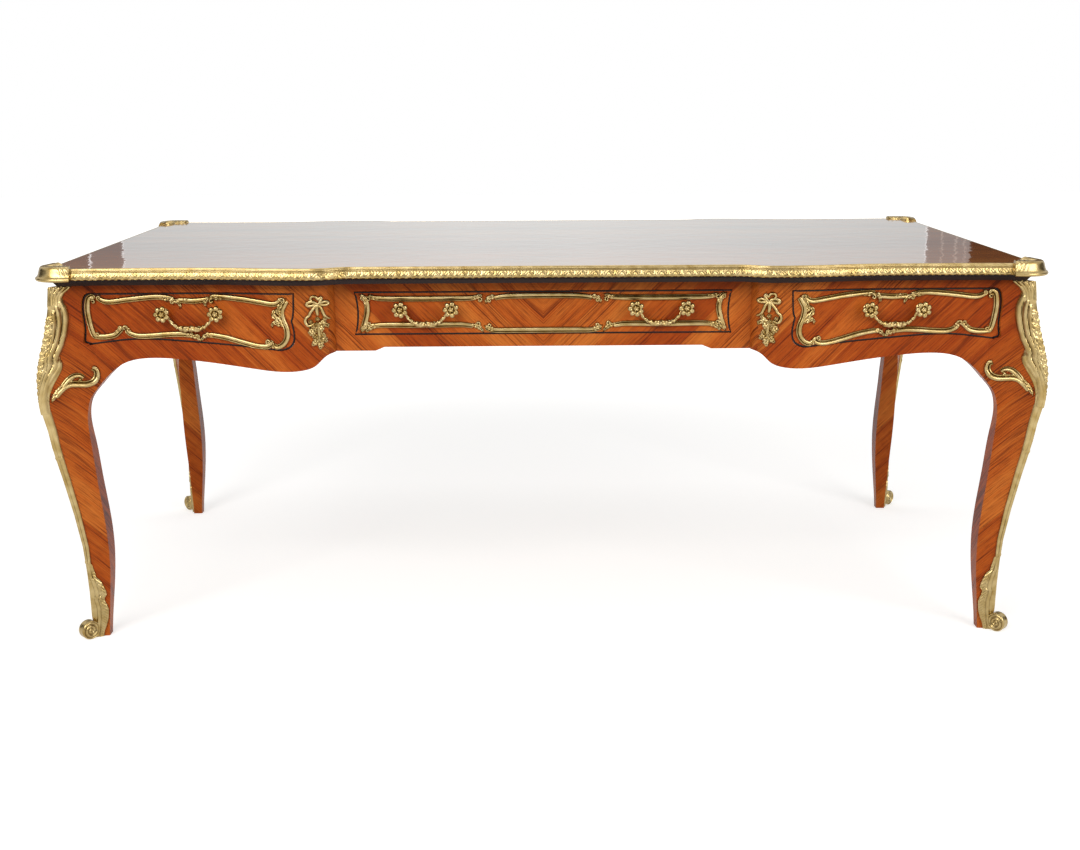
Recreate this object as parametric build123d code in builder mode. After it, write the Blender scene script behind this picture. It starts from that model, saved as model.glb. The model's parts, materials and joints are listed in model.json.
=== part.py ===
from build123d import *
import os

# A Louis XV style bureau plat, in millimetres.  The origin is on the floor under the
# middle of the desk: +X to the right, +Y to the back, +Z up.  The drawers face -Y.

# ---------------------------------------------------------------- driving dimensions
top_height = 777.5             # veneered surface above the floor
panel_thickness = 20.5         # veneered top panel
core_thickness = 15.0          # dark under-board with its coved edge
core_inset = 7.0
core_cove = 8.0

top_centre_face = 484.5        # half depth of the top at the middle of the front
top_side_face = 966.0          # half length of the top at the middle of an end
top_bulge_reach = 507.5        # half depth at the two bulges
top_valley_reach = 482.5       # half depth between bulge and corner
top_bulge_foot = 375.0         # where the bulge starts, from the middle
top_bulge_peak = 453.0
top_valley_start = 690.0
top_valley_end = 790.0
ear_start = 925.0              # where the corner ear starts along the front
ear_start_reach = 489.0
ear_side_start = 432.0         # where it starts along the end
ear_length = 983.0             # the ear's unrounded corner
ear_reach = 501.0
ear_radius = 26.0

edge_height = 22.5             # bronze edge moulding
edge_reach = 9.5
edge_lip = 1.2                 # its bead above the veneer
ear_mount_reach = 20.0         # corner mount beyond the panel's edge
ear_mount_drop = 26.0
ear_leaf = 34.0                # its leaf over the veneered corner
ear_leaf_thickness = 2.5

frieze_bottom = top_height - 245.5  # where the apron meets the leg
frieze_centre_face = 425.0     # front face of the centre section
frieze_side_face = 441.0       # front face of the side sections
pier_reach = 463.0             # front of the rounded piers
pier_corner = 419.0            # inner corner beside the centre section
pier_front = 458.0
frieze_valley = 680.0
frieze_back_line = 405.0       # inside of the front frieze
rail_thickness = 20.0
side_drawer_back_line = 419.0

apron_low = top_height - 213.5  # lowest point of the side aprons
apron_arch = top_height - 186.5  # top of their arch
apron_centre = top_height - 170  # lower edge of the centre apron
apron_centre_step = top_height - 177.5
apron_step_start = 322.0
apron_step_end = 340.0
pier_width_end = 520.0         # joint between pier and side apron
pier_joint = 404.0             # joint between pier and centre apron

leg_datum_x = 946.0            # ankle arris
leg_datum_y = 458.0
leg_inner = 46.0               # post, inwards from the datum

drawer_top = top_height - 55  # side drawers
drawer_inner_end = 495.0
drawer_outer_end = 908.0
drawer_outer_bow = 920.0
drawer_low = top_height - 169.5
drawer_bottom = top_height - 150
drawer_gap = 0.9               # clearance round the drawer fronts
centre_drawer_top = top_height - 57.5
centre_drawer_bottom = top_height - 144.5
centre_drawer_end = 380.0
centre_drawer_waist = 374.0

box_wall = 12.0                # drawer sides and backs
box_bottom_thickness = 6.0
box_bottom_rise = 8.0
side_box_start = 509.0
side_box_end = 893.0
side_box_low = top_height - 143.5
side_box_high = top_height - 63.5
centre_box_end = 363.0
centre_box_low = top_height - 134.5
centre_box_high = top_height - 66.5
running_gap = 0.3

partition_thickness = 20.0
partition_low = top_height - 171.5
runner_thickness = 12.0
cross_rail_line = 160.0
cross_rail_thickness = 20.0
runner_reach = 20.0            # bearing under a drawer side

screw_radius = 2.5
screw_length = 34.0
screw_head_radius = 5.0
screw_head_height = 3.0

chute_low = top_height - 287.5
strip_width = 15.0
strip_low = 163.0
strip_thickness = 4.0
clasp_edge = 2.5              # thickness of a clasping mount at its edge
clasp_crown = 0.04            # rise of its rounded face, as a share of its width
sabot_thickness = 4.0
scroll_radius = 19.0
scroll_width = 20.0
scroll_out = 6.0               # scroll centre beyond the ankle arris

frame_width = 11.0             # bronze drawer frames
frame_thickness = 5.0
mount_relief = 5.0             # pendants and knee scrolls
scroll_band = 4.2              # half width of a knee scroll
pendant_place = 450.0
pendant_top = top_height - 61.5
pendant_low = top_height - 169.5
pendant_width = 44.0

post_radius = 4.5
post_plate_radius = 9.0
post_plate_thickness = 2.0
head_radius = 15.0
head_back = 22.0               # back of the flower head from the drawer face
head_thickness = 8.0
bail_axis_out = 11.0           # hinge axis from the drawer face
bail_pin_radius = 2.6
bail_running_gap = 0.05
bail_drop = 31.0
bail_knot_radius = 4.6
bail_knot_half = 23.0
side_handle_place = 704.5
side_handle_height = top_height - 94.5
side_handle_spacing = 106.0
centre_handle_place = 236.0
centre_handle_height = top_height - 91
centre_handle_spacing = 102.0

# ---------------------------------------------------------------- worked-out heights
panel_bottom = top_height - panel_thickness
frieze_top = panel_bottom - core_thickness
leg_inner_x = leg_datum_x - leg_inner
leg_inner_y = leg_datum_y - leg_inner
side_frieze_face = leg_datum_x - (leg_datum_y - frieze_side_face)
far = 2000.0                   # longer than anything it cuts

FLAT = Plane.XY
ELEVATION = Plane.XZ
SIDE = Plane.YZ
CORNERS = {
    "front_right": (1, 1),
    "front_left": (-1, 1),
    "back_right": (1, -1),
    "back_left": (-1, -1),
}


def s_curve(start, end):
    """Two tangent arcs that leave start and reach end along X."""
    middle = ((start[0] + end[0]) / 2, (start[1] + end[1]) / 2)
    TangentArc(start, middle, tangent=(1, 0))
    TangentArc(end, middle, tangent=(-1, 0))


def top_front_line(shift=0.0):
    """Front edge of the top between the corner ears, as edges of the current line."""
    foot = (top_bulge_foot, -top_centre_face - shift)
    peak = (top_bulge_peak, -top_bulge_reach - shift)
    valley = (top_valley_start, -top_valley_reach - shift)
    rise = (top_valley_end, -top_valley_reach - shift)
    Line((0, foot[1]), foot)
    s_curve(foot, peak)
    s_curve(peak, valley)
    Line(valley, rise)
    TangentArc(rise, (ear_start, -ear_start_reach - shift), tangent=(1, 0))
    mirror(about=Plane.YZ)


def ear_line(side_x, side_y):
    """Plan line of one corner ear of the top, for signs side_x and side_y."""
    FilletPolyline(
        (side_x * ear_start, -side_y * ear_start_reach),
        (side_x * ear_length, -side_y * ear_reach),
        (side_x * top_side_face, -side_y * ear_side_start),
        radius=ear_radius,
    )


def frieze_front_line(end, shift=0.0):
    """Front face of the frieze, breakfront, out to x = end on both sides."""
    corner = (pier_corner, -frieze_centre_face - shift)
    peak = (pier_front, -pier_reach - shift)
    valley = (frieze_valley, -frieze_side_face - shift)
    Line((0, corner[1]), corner)
    TangentArc(peak, corner, tangent=(-1, 0))
    s_curve(peak, valley)
    Line(valley, (end, valley[1]))
    mirror(about=Plane.YZ)


def frieze_plan(end, back_line, shift=0.0):
    """Plan region between the front face of the frieze and a straight back line."""
    with BuildLine() as outline:
        frieze_front_line(end, shift)
        Line((end, -frieze_side_face - shift), (end, -back_line))
        Line((end, -back_line), (-end, -back_line))
        Line((-end, -back_line), (-end, -frieze_side_face - shift))
    make_face(outline.edges())


def side_drawer_outline(grow=0.0):
    """Elevation of the right drawer front: bowed outer end, waisted inner end."""
    top = drawer_top + grow
    low = drawer_low - grow
    bottom = drawer_bottom - grow
    start = drawer_inner_end - grow
    end = drawer_outer_end + grow
    with BuildLine() as outline:
        Line((start, top), (end - 4, top))
        Spline(
            (end - 4, top),
            (end + 5, top - 3.5),
            (end + 9.5, top - 12),
            (drawer_outer_bow + grow, (top + bottom) / 2 + 6),
            (drawer_outer_bow + grow, bottom + 5),
            (end + 9.5, bottom - 4),
            (end + 2, bottom - 7.5),
            (end - 8, bottom - 7),
            tangents=((1, 0), (-1, 0.12)),
        )
        Spline(
            (end - 8, bottom - 7),
            (start + 0.79 * (end - start), bottom + 1.5),
            (start + 0.58 * (end - start), bottom - 2),
            (start + 0.345 * (end - start), bottom - 10.5),
            (start + 42, low),
            (start + 22, low + 1),
            tangents=((-1, 0.12), (-1, 0.3)),
        )
        Spline(
            (start + 22, low + 1),
            (start + 1, low + 25),
            (start + 5, (top + low) / 2),
            (start, top),
            tangents=((-1, 0.3), (0, 1)),
        )
    make_face(outline.edges())


def centre_drawer_outline(grow=0.0):
    """Elevation of the centre drawer front, waisted at both ends."""
    top = centre_drawer_top + grow
    bottom = centre_drawer_bottom - grow
    end = centre_drawer_end + grow
    waist = centre_drawer_waist + grow
    middle = (top + bottom) / 2
    with BuildLine() as outline:
        Line((-end, top), (end, top))
        ThreePointArc((end, top), (waist, middle), (end, bottom))
        Line((end, bottom), (-end, bottom))
        ThreePointArc((-end, bottom), (-waist, middle), (-end, top))
    make_face(outline.edges())


def apron_region():
    """Elevation of the right half of the frieze above the apron's lower edge."""
    with BuildLine() as outline:
        Line((0, frieze_top), (0, apron_centre))
        Line((0, apron_centre), (apron_step_start, apron_centre))
        Line((apron_step_start, apron_centre), (apron_step_end, apron_centre_step))
        Line((apron_step_end, apron_centre_step), (pier_corner, apron_centre_step))
        Spline(
            (pier_corner, apron_centre_step),
            (pier_corner + 21, apron_centre_step - 8),
            (pier_front - 2, apron_centre_step - 23),
            (480, apron_low + 3.5),
            (512, apron_low),
            (570, apron_low + 3.5),
            (650, apron_low + 14),
            (730, apron_arch - 3),
            (785, apron_arch),
            (leg_inner_x - 52, apron_arch - 12),
            (leg_inner_x - 20, apron_arch - 37),
            (leg_inner_x, frieze_bottom),
        )
        Line((leg_inner_x, frieze_bottom), (leg_inner_x, frieze_top))
        Line((leg_inner_x, frieze_top), (0, frieze_top))
    make_face(outline.edges())


# ---------------------------------------------------------------- stock for the frieze
# Blanks that the frieze pieces are cut from; they aren't pieces themselves.
with BuildPart() as frieze_blank:
    with BuildSketch(FLAT.offset(frieze_bottom)):
        frieze_plan(leg_inner_x, frieze_back_line)
    extrude(amount=frieze_top - frieze_bottom)

with BuildPart() as frieze_front:
    add(frieze_blank.part)
    with BuildSketch(ELEVATION):
        apron_region()
        mirror(about=Plane.YZ)
    extrude(amount=far, both=True, mode=Mode.INTERSECT)

with BuildPart() as drawer_openings:
    with BuildSketch(ELEVATION.offset(frieze_back_line - 40)):
        side_drawer_outline(drawer_gap)
    extrude(amount=120)
    with BuildSketch(ELEVATION.offset(frieze_back_line - 40)):
        centre_drawer_outline(drawer_gap)
    extrude(amount=120)
    mirror(about=Plane.YZ)

rail_line = drawer_top + drawer_gap
centre_rail_line = centre_drawer_top + drawer_gap

with BuildPart() as rail_zone:
    with Locations((0, 0, (rail_line + frieze_top) / 2)):
        Box(2 * far, far, frieze_top - rail_line)
    with Locations((0, 0, (centre_rail_line + frieze_top) / 2)):
        Box(2 * (centre_drawer_end + drawer_gap), far, frieze_top - centre_rail_line)


def frieze_slice(start, end):
    """Box zone of the frieze between two distances from the middle, below the rail."""
    with Locations(((start + end) / 2, 0, frieze_top / 2)):
        Box(end - start, far, frieze_top, mode=Mode.INTERSECT)
    add(rail_zone.part, mode=Mode.SUBTRACT)


# ---------------------------------------------------------------- legs
# Stations of the cabriole leg: height, outer arris beyond the ankle datum, inner face
# inside the datum, front face at its inner edge, and the hollow of the front face.
leg_stations = [
    (frieze_top, 8.0, leg_inner, -17.0, 3.0),
    (top_height - 87.5, 14.0, leg_inner, -17.0, 4.0),
    (top_height - 137.5, 22.0, leg_inner, -17.0, 5.0),
    (top_height - 187.5, 34.0, leg_inner, -17.0, 5.0),
    (top_height - 222.5, 40.0, leg_inner, -17.0, 4.5),
    (frieze_bottom, 42.0, leg_inner, -16.0, 4.5),
    (frieze_bottom - 11, 42.7, 37.5, -13.0, 4.3),
    (frieze_bottom - 23, 43.0, 30.5, -9.0, 4.0),
    (frieze_bottom - 40, 42.5, 26.0, -4.0, 3.7),
    (frieze_bottom - 62, 40.6, 24.5, 0.0, 3.5),
    (0.79 * frieze_bottom, 36.0, 29.0, 6.0, 3.0),
    (0.65 * frieze_bottom, 23.0, 35.0, 5.0, 2.5),
    (0.51 * frieze_bottom, 11.0, 41.5, 2.0, 1.5),
    (200.0, 2.0, 45.0, -2.0, 1.0),
    (130.0, -2.5, 42.5, -6.0, 0.8),
    (60.0, -4.0, 36.0, -8.0, 0.8),
    (0.0, -4.0, 31.0, -9.0, 0.8),
]


def leg_at(height):
    """Leg section values at a height, between the two stations around it."""
    for upper, lower in zip(leg_stations, leg_stations[1:]):
        if height >= lower[0]:
            share = (height - lower[0]) / (upper[0] - lower[0])
            return [low + share * (high - low) for high, low in zip(upper[1:], lower[1:])]
    return list(leg_stations[-1][1:])


def on_leg(outward, forward):
    """Plan point of the front right leg, from its datum."""
    return (leg_datum_x + outward, -leg_datum_y - forward)


def leg_face_reach(values, outward):
    """How far forward the leg's front face lies at a distance out from the datum."""
    arris, inner, face, hollow = values
    share = (outward + inner) / (arris + inner)
    return face + share * (arris - face) - 4 * hollow * share * (1 - share)


def leg_section(values, grow=0.0):
    """Five-sided leg section: two hollow show faces, two inner faces."""
    arris, inner, face, hollow = values
    arris = arris + grow
    face = face + grow
    inner = inner + grow
    middle = (arris - inner) / 2
    reach = (arris + face) / 2 - hollow
    with BuildLine() as outline:
        ThreePointArc(on_leg(arris, arris), on_leg(middle, reach), on_leg(-inner, face))
        Line(on_leg(-inner, face), on_leg(-inner, -inner))
        Line(on_leg(-inner, -inner), on_leg(face, -inner))
        ThreePointArc(on_leg(face, -inner), on_leg(reach, middle), on_leg(arris, arris))
    make_face(outline.edges())


leg_diagonal = Plane(origin=(leg_datum_x, -leg_datum_y, 0), z_dir=(1, 1, 0))

post_stations = [station for station in leg_stations if station[0] >= frieze_bottom]
shin_stations = [station for station in leg_stations if station[0] <= frieze_bottom]
with BuildPart() as leg_blank:
    for station in post_stations:
        with BuildSketch(FLAT.offset(station[0])):
            leg_section(station[1:])
    loft()
    for station in shin_stations:
        with BuildSketch(FLAT.offset(station[0])):
            leg_section(station[1:])
    loft()

with BuildPart() as side_opening:
    with BuildSketch(ELEVATION.offset(side_drawer_back_line - drawer_gap)):
        side_drawer_outline(drawer_gap)
    extrude(amount=100)

with BuildPart() as leg_front:
    add(leg_blank.part)
    add(side_opening.part, mode=Mode.SUBTRACT)

with BuildPart() as leg_swollen:
    for station in post_stations:
        with BuildSketch(FLAT.offset(station[0])):
            leg_section(station[1:], mount_relief)
    loft()
    for station in shin_stations[:5]:
        with BuildSketch(FLAT.offset(station[0])):
            leg_section(station[1:], mount_relief)
    loft()

# Chute: cast knee mount over the outer arris; height, its own arris beyond the datum,
# and its reach inwards along each face.
chute_stations = [
    (frieze_top - 1.0, 26.0, 36.0),
    (top_height - 59.5, 28.0, 25.0),
    (top_height - 85.5, 31.0, 34.0),
    (top_height - 117.5, 36.0, 38.0),
    (top_height - 145.5, 41.5, 37.0),
    (top_height - 171.5, 47.5, 36.0),
    (top_height - 188.5, 50.5, 38.0),
    (top_height - 211.5, 54.0, 46.0),
    (top_height - 237.5, 55.0, 38.0),
    (top_height - 265.5, 54.0, 29.0),
    (chute_low, 51.5, 22.0),
]


def clasp_section(height, arris, width):
    """Plan section of a mount that clasps the outer arris, reaching into the wood."""
    values = leg_at(height)
    edge = arris - width
    reach = leg_face_reach(values, edge)
    lip = reach + clasp_edge
    half = arris - width / 2
    bow = (arris + lip) / 2 + clasp_crown * width
    with BuildLine() as outline:
        ThreePointArc(on_leg(arris, arris), on_leg(half, bow), on_leg(edge, lip))
        Line(on_leg(edge, lip), on_leg(edge, edge))
        Line(on_leg(edge, edge), on_leg(lip, edge))
        ThreePointArc(on_leg(lip, edge), on_leg(bow, half), on_leg(arris, arris))
    make_face(outline.edges())


with BuildPart() as chute_front:
    for height, arris, width in chute_stations:
        with BuildSketch(FLAT.offset(height)):
            clasp_section(height, arris, width)
    loft()
    add(leg_blank.part, mode=Mode.SUBTRACT)

# Edge strip: reeded bronze down the arris, from the chute to the sabot.
strip_shares = [1.0, 0.9, 0.8, 0.68, 0.56, 0.44, 0.33, 0.22, 0.11, 0.0]
strip_heights = [strip_low + share * (chute_low - strip_low) for share in strip_shares]
with BuildPart() as strip_front:
    for height in strip_heights:
        share = (height - strip_low) / (chute_low - strip_low)
        arris = leg_at(height)[0] + strip_thickness
        with BuildSketch(FLAT.offset(height)):
            clasp_section(height, arris, strip_width * (0.75 + 0.25 * share))
    loft()
    add(leg_blank.part, mode=Mode.SUBTRACT)

sabot_stations = [
    (strip_low, 12.0),
    (140.0, 15.0),
    (112.0, 26.0),
    (92.0, 29.0),
    (60.0, 36.0),
    (22.0, 26.0),
    (0.0, 22.0),
]
with BuildPart() as sabot_front:
    for height, width in sabot_stations:
        arris = leg_at(height)[0] + sabot_thickness
        with BuildSketch(FLAT.offset(height)):
            clasp_section(height, arris, width)
    loft()
    scroll_plane = Plane(
        origin=(leg_datum_x + scroll_out, -leg_datum_y - scroll_out, scroll_radius),
        x_dir=(0, 0, 1),
        z_dir=(1, 1, 0),
    )
    with BuildSketch(scroll_plane):
        Circle(scroll_radius)
    extrude(amount=scroll_width / 2, both=True)
    add(leg_blank.part, mode=Mode.SUBTRACT)

with BuildPart() as knee_scroll_face:
    with BuildSketch(ELEVATION.offset(frieze_side_face - 25)):
        with BuildLine():
            FilletPolyline(
                (leg_datum_x + 42, frieze_bottom - 21),
                (leg_datum_x + 22, frieze_bottom - 1),
                (leg_datum_x - 8, frieze_bottom + 7),
                (leg_datum_x - 40, frieze_bottom + 10),
                (leg_datum_x - 45, frieze_bottom + 28),
                (leg_datum_x - 34, frieze_bottom + 41),
                radius=11,
            )
            offset(amount=scroll_band)
        make_face()
    extrude(amount=90)
    add(leg_swollen.part, mode=Mode.INTERSECT)
    add(leg_blank.part, mode=Mode.SUBTRACT)
    add(frieze_front.part, mode=Mode.SUBTRACT)
    add(chute_front.part, mode=Mode.SUBTRACT)


def keep(piece, label):
    """Label a finished piece and write its STEP file."""
    piece.part.label = label
    export_step(piece.part, "parts/" + label + ".step")


def at_corner(source, side_x, side_y):
    """Copy a front right corner piece to the corner of the given signs."""
    shape = source.part
    if side_x < 0:
        shape = shape.mirror(Plane.YZ)
    if side_y < 0:
        shape = shape.mirror(Plane.XZ)
    add(shape)


# ---------------------------------------------------------------- top
def top_outline():
    """Whole plan of the veneered panel: serpentine front and back, eared corners."""
    with BuildLine() as outline:
        top_front_line()
        ear_line(1, 1)
        Line((top_side_face, -ear_side_start), (top_side_face, ear_side_start))
        ear_line(-1, 1)
        Line((-top_side_face, -ear_side_start), (-top_side_face, ear_side_start))
        ear_line(1, -1)
        ear_line(-1, -1)
        mirror(outline.edges().filter_by(lambda e: abs(e.center().X) < ear_start + 1), about=Plane.XZ)
    make_face(outline.edges())


screw_places = [
    (side_x * place, side_y * line)
    for side_x in (-1, 1)
    for place in (pier_corner + partition_thickness / 2, leg_inner_x - runner_reach)
    for side_y, line in ((-1, 300.0), (1, 60.0))
]

with BuildPart() as top_screws:
    with Locations(*[(x, y, frieze_top - screw_head_height) for x, y in screw_places]):
        Cylinder(screw_radius, screw_length, align=(Align.CENTER, Align.CENTER, Align.MIN))
        Cylinder(screw_head_radius, screw_head_height, align=(Align.CENTER, Align.CENTER, Align.MIN))
keep(top_screws, "top_screws")

with BuildPart() as top_panel:
    with BuildSketch(FLAT.offset(panel_bottom)):
        top_outline()
    extrude(amount=panel_thickness)
    add(top_screws.part, mode=Mode.SUBTRACT)
keep(top_panel, "top_panel")

with BuildPart() as top_core:
    with BuildSketch(FLAT.offset(frieze_top)):
        top_outline()
        offset(amount=-core_inset)
    extrude(amount=core_thickness)
    chamfer(top_core.faces().sort_by(Axis.Z)[0].edges(), length=core_cove)
    add(top_screws.part, mode=Mode.SUBTRACT)
keep(top_core, "top_core")


def edge_profile():
    """Section of the bronze edge moulding: X outwards, Y up from the panel's surface."""
    with BuildLine() as outline:
        Polyline(
            (0, edge_lip),
            (0, -edge_height + edge_lip),
            (edge_reach - 2.5, -edge_height + edge_lip),
            (edge_reach - 0.5, -edge_height + 3.5),
            (edge_reach - 1.5, -edge_height + 6.0),
            (edge_reach, -edge_height + 10.0),
            (edge_reach - 3.0, -edge_height + 15.5),
            (edge_reach - 3.0, -4.0),
            (edge_reach - 2.5, 0.0),
            (edge_reach - 4.5, edge_lip),
            (0, edge_lip),
        )
    make_face(outline.edges())


def ear_profile():
    """Section of the corner mount: an ogee that flares to its lower bead."""
    with BuildLine() as outline:
        Polyline((-3, 0), (-3, ear_leaf_thickness), (5, ear_leaf_thickness))
        Spline(
            (5, ear_leaf_thickness),
            (11, -3),
            (12.5, -10),
            (ear_mount_reach - 3.5, -16),
            tangents=((1, 0), (1, -1)),
        )
        Spline(
            (ear_mount_reach - 3.5, -16),
            (ear_mount_reach, -ear_mount_drop / 2 - 6.5),
            (ear_mount_reach - 4, -ear_mount_drop + ear_leaf_thickness),
            tangents=((1, -0.4), (-1, -0.3)),
        )
        Polyline(
            (ear_mount_reach - 4, -ear_mount_drop + ear_leaf_thickness),
            (0, -ear_mount_drop + ear_leaf_thickness),
            (0, 0),
            (-3, 0),
        )
    make_face(outline.edges())


def start_of(path, outward):
    """Upright section plane at the start of a level path, X pointing outward."""
    across = Vector(0, 0, 1).cross(path % 0)
    if across.dot(Vector(*outward)) < 0:
        across = -across
    return Plane(origin=path @ 0, x_dir=across, z_dir=across.cross(Vector(0, 0, 1)))


at_top = Location((0, 0, top_height))
with BuildPart() as edge_front:
    with BuildLine() as edge_line:
        top_front_line()
    edge_path = edge_line.wires()[0].moved(at_top)
    with BuildSketch(start_of(edge_path, (0, -1, 0))):
        edge_profile()
    sweep(path=edge_path)
keep(edge_front, "edge_front")
with BuildPart() as edge_back:
    add(edge_front.part.mirror(Plane.XZ))
keep(edge_back, "edge_back")

side_start = Plane(origin=(top_side_face, -ear_side_start, top_height), x_dir=(1, 0, 0), z_dir=(0, -1, 0))
with BuildPart() as edge_right:
    with BuildSketch(side_start):
        edge_profile()
    extrude(amount=-2 * ear_side_start)
keep(edge_right, "edge_right")
with BuildPart() as edge_left:
    add(edge_right.part.mirror(Plane.YZ))
keep(edge_left, "edge_left")

with BuildPart() as ear_mount:
    with BuildLine() as ear_line_right:
        ear_line(1, 1)
    ear_path = ear_line_right.wires()[0].moved(at_top)
    with BuildSketch(start_of(ear_path, (1, -1, 0))):
        ear_profile()
    sweep(path=ear_path)
    with BuildSketch(FLAT.offset(top_height)):
        with BuildLine():
            ear_line(1, 1)
            Line((top_side_face, -ear_side_start), (top_side_face - ear_leaf, -ear_side_start - 22))
            Line((top_side_face - ear_leaf, -ear_side_start - 22), (ear_start, -ear_start_reach))
        make_face()
    extrude(amount=ear_leaf_thickness)
    add(edge_front.part, mode=Mode.SUBTRACT)
    add(edge_right.part, mode=Mode.SUBTRACT)

# ---------------------------------------------------------------- legs and their mounts
CORNER_PIECES = {
    "leg": leg_front,
    "chute": chute_front,
    "edge_strip": strip_front,
    "sabot": sabot_front,
    "corner_mount": ear_mount,
}
for piece_name, source in CORNER_PIECES.items():
    for corner_name, (side_x, side_y) in CORNERS.items():
        with BuildPart() as corner_piece:
            at_corner(source, side_x, side_y)
        keep(corner_piece, piece_name + "_" + corner_name)

with BuildPart() as knee_scroll_pair:
    add(knee_scroll_face.part)
    add(knee_scroll_face.part.mirror(leg_diagonal))
with BuildPart() as knee_scrolls:
    for side_x, side_y in CORNERS.values():
        at_corner(knee_scroll_pair, side_x, side_y)
keep(knee_scrolls, "knee_scrolls")

# ---------------------------------------------------------------- front and back frieze
with BuildPart() as frieze_top_rail:
    add(frieze_front.part)
    add(rail_zone.part, mode=Mode.INTERSECT)
keep(frieze_top_rail, "frieze_top_rail")

with BuildPart() as frieze_lower:
    add(frieze_front.part)
    add(drawer_openings.part, mode=Mode.SUBTRACT)

with BuildPart() as apron_right:
    add(frieze_lower.part)
    frieze_slice(pier_width_end, leg_inner_x)
keep(apron_right, "apron_right")
with BuildPart() as apron_left:
    add(apron_right.part.mirror(Plane.YZ))
keep(apron_left, "apron_left")
with BuildPart() as apron_middle:
    add(frieze_lower.part)
    frieze_slice(-pier_joint, pier_joint)
keep(apron_middle, "apron_centre")
with BuildPart() as pier_right:
    add(frieze_lower.part)
    frieze_slice(pier_joint, pier_width_end)
with BuildPart() as front_piers:
    add(pier_right.part)
    add(pier_right.part.mirror(Plane.YZ))
keep(front_piers, "front_piers")

with BuildPart() as back_frieze:
    add(frieze_front.part)
    add(drawer_openings.part, mode=Mode.SUBTRACT)
with BuildPart() as back_frieze_placed:
    add(back_frieze.part.mirror(Plane.XZ))
keep(back_frieze_placed, "back_frieze")

# ---------------------------------------------------------------- end friezes
with BuildPart() as end_friezes:
    with BuildSketch(SIDE.offset(side_frieze_face)):
        with BuildLine():
            Line((0, frieze_top), (0, apron_arch - 14))
            Spline(
                (0, apron_arch - 14),
                (0.32 * leg_inner_y, apron_arch - 10),
                (0.63 * leg_inner_y, apron_arch),
                (leg_inner_y - 52, apron_arch - 12),
                (leg_inner_y - 20, apron_arch - 37),
                (leg_inner_y, frieze_bottom),
                tangents=((1, 0), (0.8, -1)),
            )
            Line((leg_inner_y, frieze_bottom), (leg_inner_y, frieze_top))
            Line((leg_inner_y, frieze_top), (0, frieze_top))
        make_face()
        mirror(about=Plane.YZ)
    extrude(amount=-rail_thickness)
    mirror(about=Plane.YZ)
keep(end_friezes, "end_friezes")

# ---------------------------------------------------------------- inside the carcase
partition_outer = pier_corner + partition_thickness
end_frieze_inside = side_frieze_face - rail_thickness


def strut(x_range, y_range, z_range):
    """Plain wooden bar between the given limits."""
    with Locations((sum(x_range) / 2, sum(y_range) / 2, sum(z_range) / 2)):
        Box(x_range[1] - x_range[0], y_range[1] - y_range[0], z_range[1] - z_range[0])


with BuildPart() as partitions:
    strut((pier_corner, partition_outer), (-frieze_back_line, frieze_back_line), (partition_low, frieze_top))
    add(top_screws.part, mode=Mode.SUBTRACT)
    mirror(about=Plane.YZ)
keep(partitions, "partitions")

with BuildPart() as cross_rails:
    rail_span = (cross_rail_line, cross_rail_line + cross_rail_thickness)
    strut((partition_outer, end_frieze_inside), rail_span, (partition_low, frieze_top))
    mirror(about=Plane.YZ)
    strut((-pier_corner, pier_corner), rail_span, (partition_low, frieze_top))
keep(cross_rails, "cross_rails")

runner_span = (-frieze_back_line, cross_rail_line)
side_runner_top = side_box_low - running_gap
centre_runner_top = centre_box_low - running_gap
side_kicker_low = side_box_high + running_gap
centre_kicker_low = centre_box_high + running_gap
with BuildPart() as drawer_runners:
    side_band = (side_runner_top - runner_thickness, side_runner_top)
    centre_band = (centre_runner_top - runner_thickness, centre_runner_top)
    strut((partition_outer, side_box_start + runner_reach), runner_span, side_band)
    strut((side_box_end - runner_reach, end_frieze_inside), runner_span, side_band)
    strut((centre_box_end - runner_reach, pier_corner), runner_span, centre_band)
    strut((partition_outer, side_box_start + runner_reach), runner_span, (side_kicker_low, frieze_top))
    strut((side_box_end - runner_reach, end_frieze_inside), runner_span, (side_kicker_low, frieze_top))
    strut((centre_box_end - runner_reach, pier_corner), runner_span, (centre_kicker_low, frieze_top))
    mirror(about=Plane.YZ)
    add(top_screws.part, mode=Mode.SUBTRACT)
keep(drawer_runners, "drawer_runners")


# ---------------------------------------------------------------- drawers
def drawer_box(x_range, front_line, z_range):
    """Sides, back and bottom of a drawer, behind its front."""
    start, end = x_range
    low, high = z_range
    back = cross_rail_line - running_gap
    strut((start, start + box_wall), (-front_line, back), z_range)
    strut((end - box_wall, end), (-front_line, back), z_range)
    strut((start + box_wall, end - box_wall), (back - box_wall, back), z_range)


def drawer_bottom_board(x_range, front_line, z_range):
    """Bottom board between the sides and the back of a drawer."""
    start, end = x_range
    low = z_range[0] + box_bottom_rise
    back = cross_rail_line - running_gap - box_wall
    strut((start + box_wall, end - box_wall), (-front_line, back), (low, low + box_bottom_thickness))


with BuildPart() as side_front_blank:
    with BuildSketch(FLAT.offset(drawer_low - 10)):
        frieze_plan(drawer_outer_bow + 5, side_drawer_back_line)
    extrude(amount=frieze_top - drawer_low + 10)
with BuildPart() as drawer_right_front:
    add(side_front_blank.part)
    with BuildSketch(ELEVATION):
        side_drawer_outline()
    extrude(amount=far, both=True, mode=Mode.INTERSECT)
with BuildPart() as centre_drawer_front:
    add(frieze_blank.part)
    with BuildSketch(ELEVATION):
        centre_drawer_outline()
    extrude(amount=far, both=True, mode=Mode.INTERSECT)
with BuildPart() as drawer_left_front:
    add(drawer_right_front.part.mirror(Plane.YZ))
keep(drawer_right_front, "drawer_right_front")
keep(drawer_left_front, "drawer_left_front")
keep(centre_drawer_front, "drawer_centre_front")

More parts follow.
